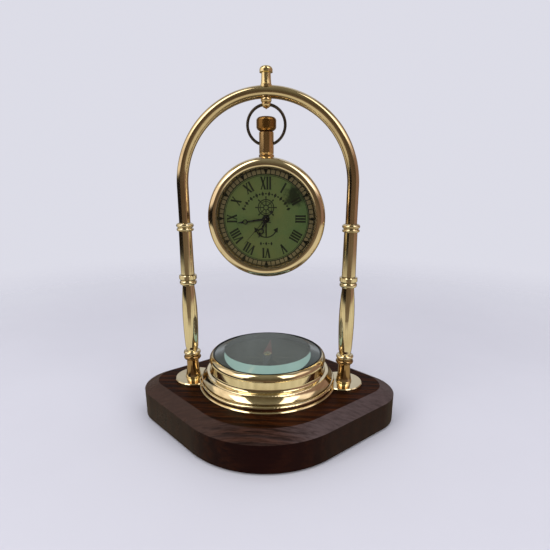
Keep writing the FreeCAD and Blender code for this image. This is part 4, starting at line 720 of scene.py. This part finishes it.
def print_card():
    """Compass card: three rings, a scale in steps of five degrees, and an eight-pointed rose."""
    ink = Ink(on_card)
    for radius, width in CARD_RINGS:
        ink.ring(radius, width)
    for bearing in range(0, 360, 5):
        reach, width = next((reach, width) for every, reach, width in CARD_MARKS if bearing % every == 0)
        ink.bar(clock_point(reach, bearing), clock_point(CARD_EDGE, bearing), width)
    side, lag = ROSE_SIDE
    for point in range(8):
        angle = point * 45
        ink.shape([clock_point(ROSE_FOOT, angle), clock_point(side, angle - lag),
                   clock_point(ROSE_TIPS[point % 2], angle)])
    ink.done("card_print", CARD_INK, "stand")


# ------------------------------------------------------------------ felt under the base

FELT_STEPS = 240
# the sheet's edge from its underside up: (inset in mm, share of the thickness)
FELT_EDGE = ((0.5, 0.02), (0.12, 0.12), (0.0, 0.4), (0.02, 0.7), (0.2, 0.95), (0.5, 0.99))
FELT_INSET = 0.2
FELT_WOBBLE = ((0.12, 0.7, 0.0), (0.08, 1.9, 1.0))      # waves of the outline: (size in mm, pace, start)
RIM_LAYER = 0.2 * MM    # points of the CAD pad this close to its underside make its outline
TINY = 1e-6


def meet(ray, first, second):
    """How far a ray from the origin runs to the segment between two points, or None if it misses."""
    edge = second - first
    spread = ray.y * edge.x - ray.x * edge.y
    if abs(spread) < TINY * TINY:
        return None
    reach = (first.y * edge.x - first.x * edge.y) / spread
    share = (ray.x * first.y - ray.y * first.x) / spread
    return reach if reach > 0 and -TINY <= share <= 1 + TINY else None


def felt_outline(bottom):
    """Points of the CAD pad's outline at equal angles about the middle."""
    rim = {(round(vertex.co.x, 5), round(vertex.co.y, 5)) for vertex in NODES["felt_pad"].data.vertices
           if vertex.co.z < bottom + RIM_LAYER}
    corners = [Vector(point) for point in sorted(rim, key=lambda point: math.atan2(point[1], point[0]))]
    outline = []
    for k in range(FELT_STEPS):
        angle = -math.pi + 2 * math.pi * (k + 0.5) / FELT_STEPS
        ray = Vector((math.cos(angle), math.sin(angle)))
        reaches = [meet(ray, first, second) for first, second in zip(corners, corners[1:] + corners[:1])]
        outline.append(ray * next(reach for reach in reaches if reach))
    return outline


def build_felt():
    """The felt as a soft sheet: rounded pressed edge and a slightly uneven outline."""
    low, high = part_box("felt_pad")
    outline = felt_outline(low.z)
    mesh = bmesh.new()
    loops = []
    for inset, share in FELT_EDGE:
        loop = []
        for k, point in enumerate(outline):
            wobble = sum(size * math.sin(k * pace + start) for size, pace, start in FELT_WOBBLE)
            spot = point - point.normalized() * ((inset + FELT_INSET + wobble) * MM)
            loop.append(mesh.verts.new((spot.x, spot.y, low.z + (high.z - low.z) * share)))
        loops.append(loop)
    for first, second in zip(loops, loops[1:]):
        bridge(mesh, first, second)
    mesh.faces.new(reversed(loops[0]))
    mesh.faces.new(loops[-1])
    bmesh.ops.recalc_face_normals(mesh, faces=mesh.faces)
    item = new_object(mesh, "felt_sheet", FELT)
    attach(item, "stand")
    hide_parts("felt_pad")


# ------------------------------------------------------------------ floor and surroundings

BACKDROP = (0.72, 0.72, 0.80)
FLOOR_RADIUS = 1.2
FLOOR_FADE = (0.14, 0.50)       # distances from the object between which the floor fades out
FLOOR_COLOURS = ((0.54, 0.54, 0.59), (0.59, 0.59, 0.64))

# What polished metal sees: (azimuth, elevation, half width, half height, soft edge, colour), angles in
# degrees, azimuth 0 toward the viewer and positive to the viewer's right.
ROOM = (
    (180.0, 38.0, 70.0, 26.0, 14.0, (0.62, 0.62, 0.66)),
    (124.0, 34.0, 20.0, 20.0, 10.0, (0.26, 0.20, 0.15)),
    (-124.0, 34.0, 18.0, 20.0, 10.0, (0.42, 0.38, 0.32)),
    (-72.0, 27.0, 28.0, 18.0, 6.0, (1.15, 1.0, 0.84)),
    (71.0, 32.0, 21.0, 12.0, 8.0, (1.2, 1.0, 0.86)),
    (-51.0, 48.0, 13.0, 20.0, 5.0, (3.5, 3.2, 2.7)),
    (49.0, 45.0, 12.0, 18.0, 5.0, (2.9, 2.6, 2.2)),
    (92.0, 4.0, 34.0, 13.0, 12.0, (0.30, 0.19, 0.15)),
    (-86.0, -6.0, 50.0, 8.0, 5.0, (0.010, 0.008, 0.006)),
)
# the room's walls between those patches: (height from 0, straight down, to 1, straight up; colour)
WALLS = ((0.0, (0.40, 0.35, 0.26)), (0.48, (0.14, 0.095, 0.06)), (0.56, (0.10, 0.072, 0.045)),
         (0.75, (0.13, 0.11, 0.07)), (1.0, (0.24, 0.22, 0.16)))
GROUND = (0.74, 0.67, 0.50)
SHADED_GROUND = (0.17, 0.13, 0.08)
NADIR = (0.16, 0.13, 0.08)
STREAK_SHADE = (0.45, 0.42, 0.36)
GROUND_EDGE = (-12.0, -8.0)     # elevations from the ground to the walls
VIEWER_ARC = (18.0, 22.0)       # half width and soft edge of the arc toward the viewer
VIEWER_DROP = 10.0              # how much lower the ground begins in that arc
BEHIND_EDGE = (112.0, 140.0)
NADIR_EDGE = (-60.0, -44.0)


def build_floor():
    """Pale floor that fades into the backdrop, so that no horizon shows."""
    s = Shader("stage_floor")
    x, y, _ = s.split()
    cloud = s.noise(s.point, 9.0, 5.0, 0.6)
    solid = s.principled(s.mix(cloud, *FLOOR_COLOURS), 0.8)
    clear = s.add("ShaderNodeBsdfTransparent").outputs["BSDF"]
    fade = s.step(s.radius(x, y), *FLOOR_FADE)
    mesh = bmesh.new()
    bmesh.ops.create_circle(mesh, cap_ends=True, radius=FLOOR_RADIUS, segments=96)
    item = new_object(mesh, "floor", s.close(s.choose(fade, solid, clear)))
    item.visible_glossy = False


def degrees_step(s, angle, low, high):
    return s.step(angle, math.radians(low), math.radians(high))


def degrees_band(s, angle, middle, half, soft):
    return s.band(angle, math.radians(middle), math.radians(half), math.radians(soft))


def build_world():
    """A plain backdrop for the eye, and a painted room for what polished metal reflects."""
    s = Shader("studio", world=True)
    x, y, z = s.split()
    azimuth = s.math("ARCTAN2", x, s.times(y, -1.0))
    elevation = s.math("ARCSINE", z)
    turned = s.math("ABSOLUTE", azimuth)
    room = s.ramp(s.math("MULTIPLY_ADD", z, 0.5, 0.5), *WALLS)
    for middle, level, half_width, half_height, soft, colour in ROOM:
        # the patch straight behind wraps round, so it goes by the angle without its sign
        across = degrees_band(s, turned if middle == 180.0 else azimuth, middle, half_width, soft)
        along = degrees_band(s, elevation, level, half_height, soft)
        room = s.mix(s.times(across, along), room, colour)

    # the ground begins lower toward the viewer, is shaded behind and darkens straight below
    viewer = degrees_band(s, azimuth, 0.0, *VIEWER_ARC)
    lowered = s.plus(elevation, s.times(viewer, math.radians(VIEWER_DROP)))
    ground = s.invert(degrees_step(s, lowered, *GROUND_EDGE))
    behind = degrees_step(s, turned, *BEHIND_EDGE)
    room = s.mix(ground, room, s.mix(behind, GROUND, SHADED_GROUND))
    below = s.invert(degrees_step(s, elevation, *NADIR_EDGE))
    room = s.mix(below, room, NADIR)

    streaks = s.ramp(s.noise(s.scaled(3.0, 3.0, 1.2), 2.2, 4.0, 0.6), (0.35, 0.0), (0.65, 0.45))
    room = s.mix(streaks, room, STREAK_SHADE, "MULTIPLY")
    shown = s.simple("ShaderNodeBackground", room)
    plain = s.simple("ShaderNodeBackground", BACKDROP)
    glossy = s.add("ShaderNodeLightPath").outputs["Is Glossy Ray"]
    bpy.context.scene.world = s.close(s.choose(glossy, plain, shown))


# ------------------------------------------------------------------ lights and camera

LIGHT_TARGET = Vector((0.0, 0.0, 0.07))
# (name, place, width, height, power, colour)
LIGHTS = (
    ("window_left", (-0.50, -0.45, 0.40), 0.40, 0.45, 2.6, (1.0, 0.98, 0.93)),
    ("window_right", (0.55, -0.40, 0.36), 0.35, 0.40, 2.0, (1.0, 0.97, 0.92)),
    ("overhead", (0.0, -0.05, 0.70), 0.60, 0.45, 1.0, (1.0, 1.0, 1.0)),
)
SENSOR_WIDTH = 36.0             # in mm, as is the focal length
FOCAL_LENGTH = 26.97
CAMERA_SHIFT = 0.0455
CAMERA_CLIP = (0.005, 50.0)
CAMERA_PLACE = (16.81 * MM, -181.71 * MM, 108.53 * MM)
CAMERA_DOWN = 15.697            # degrees below level
CAMERA_TURN = 4.167             # degrees to the left of straight back


def build_lights():
    """Soft panels that light the object but don't show in its reflections."""
    for name, place, width, height, power, colour in LIGHTS:
        data = bpy.data.lights.new(name, "AREA")
        data.shape = "RECTANGLE"
        data.size = width
        data.size_y = height
        data.energy = power
        data.color = colour
        item = bpy.data.objects.new(name, data)
        item.location = place
        item.rotation_euler = (LIGHT_TARGET - Vector(place)).to_track_quat("-Z", "Y").to_euler()
        item.visible_glossy = False
        bpy.context.scene.collection.objects.link(item)


def build_camera():
    data = bpy.data.cameras.new("camera")
    data.sensor_width = SENSOR_WIDTH
    data.lens = FOCAL_LENGTH
    data.shift_y = CAMERA_SHIFT
    data.clip_start, data.clip_end = CAMERA_CLIP
    item = bpy.data.objects.new("camera", data)
    item.location = CAMERA_PLACE
    item.rotation_euler = (math.radians(90 - CAMERA_DOWN), 0.0, math.radians(CAMERA_TURN))
    bpy.context.scene.collection.objects.link(item)
    bpy.context.scene.camera = item


# ------------------------------------------------------------------ the scene

finish_nodes()
print_dial()
print_card()
build_felt()
build_floor()
build_world()
build_lights()
build_camera()
bpy.context.scene.view_settings.view_transform = "Standard"
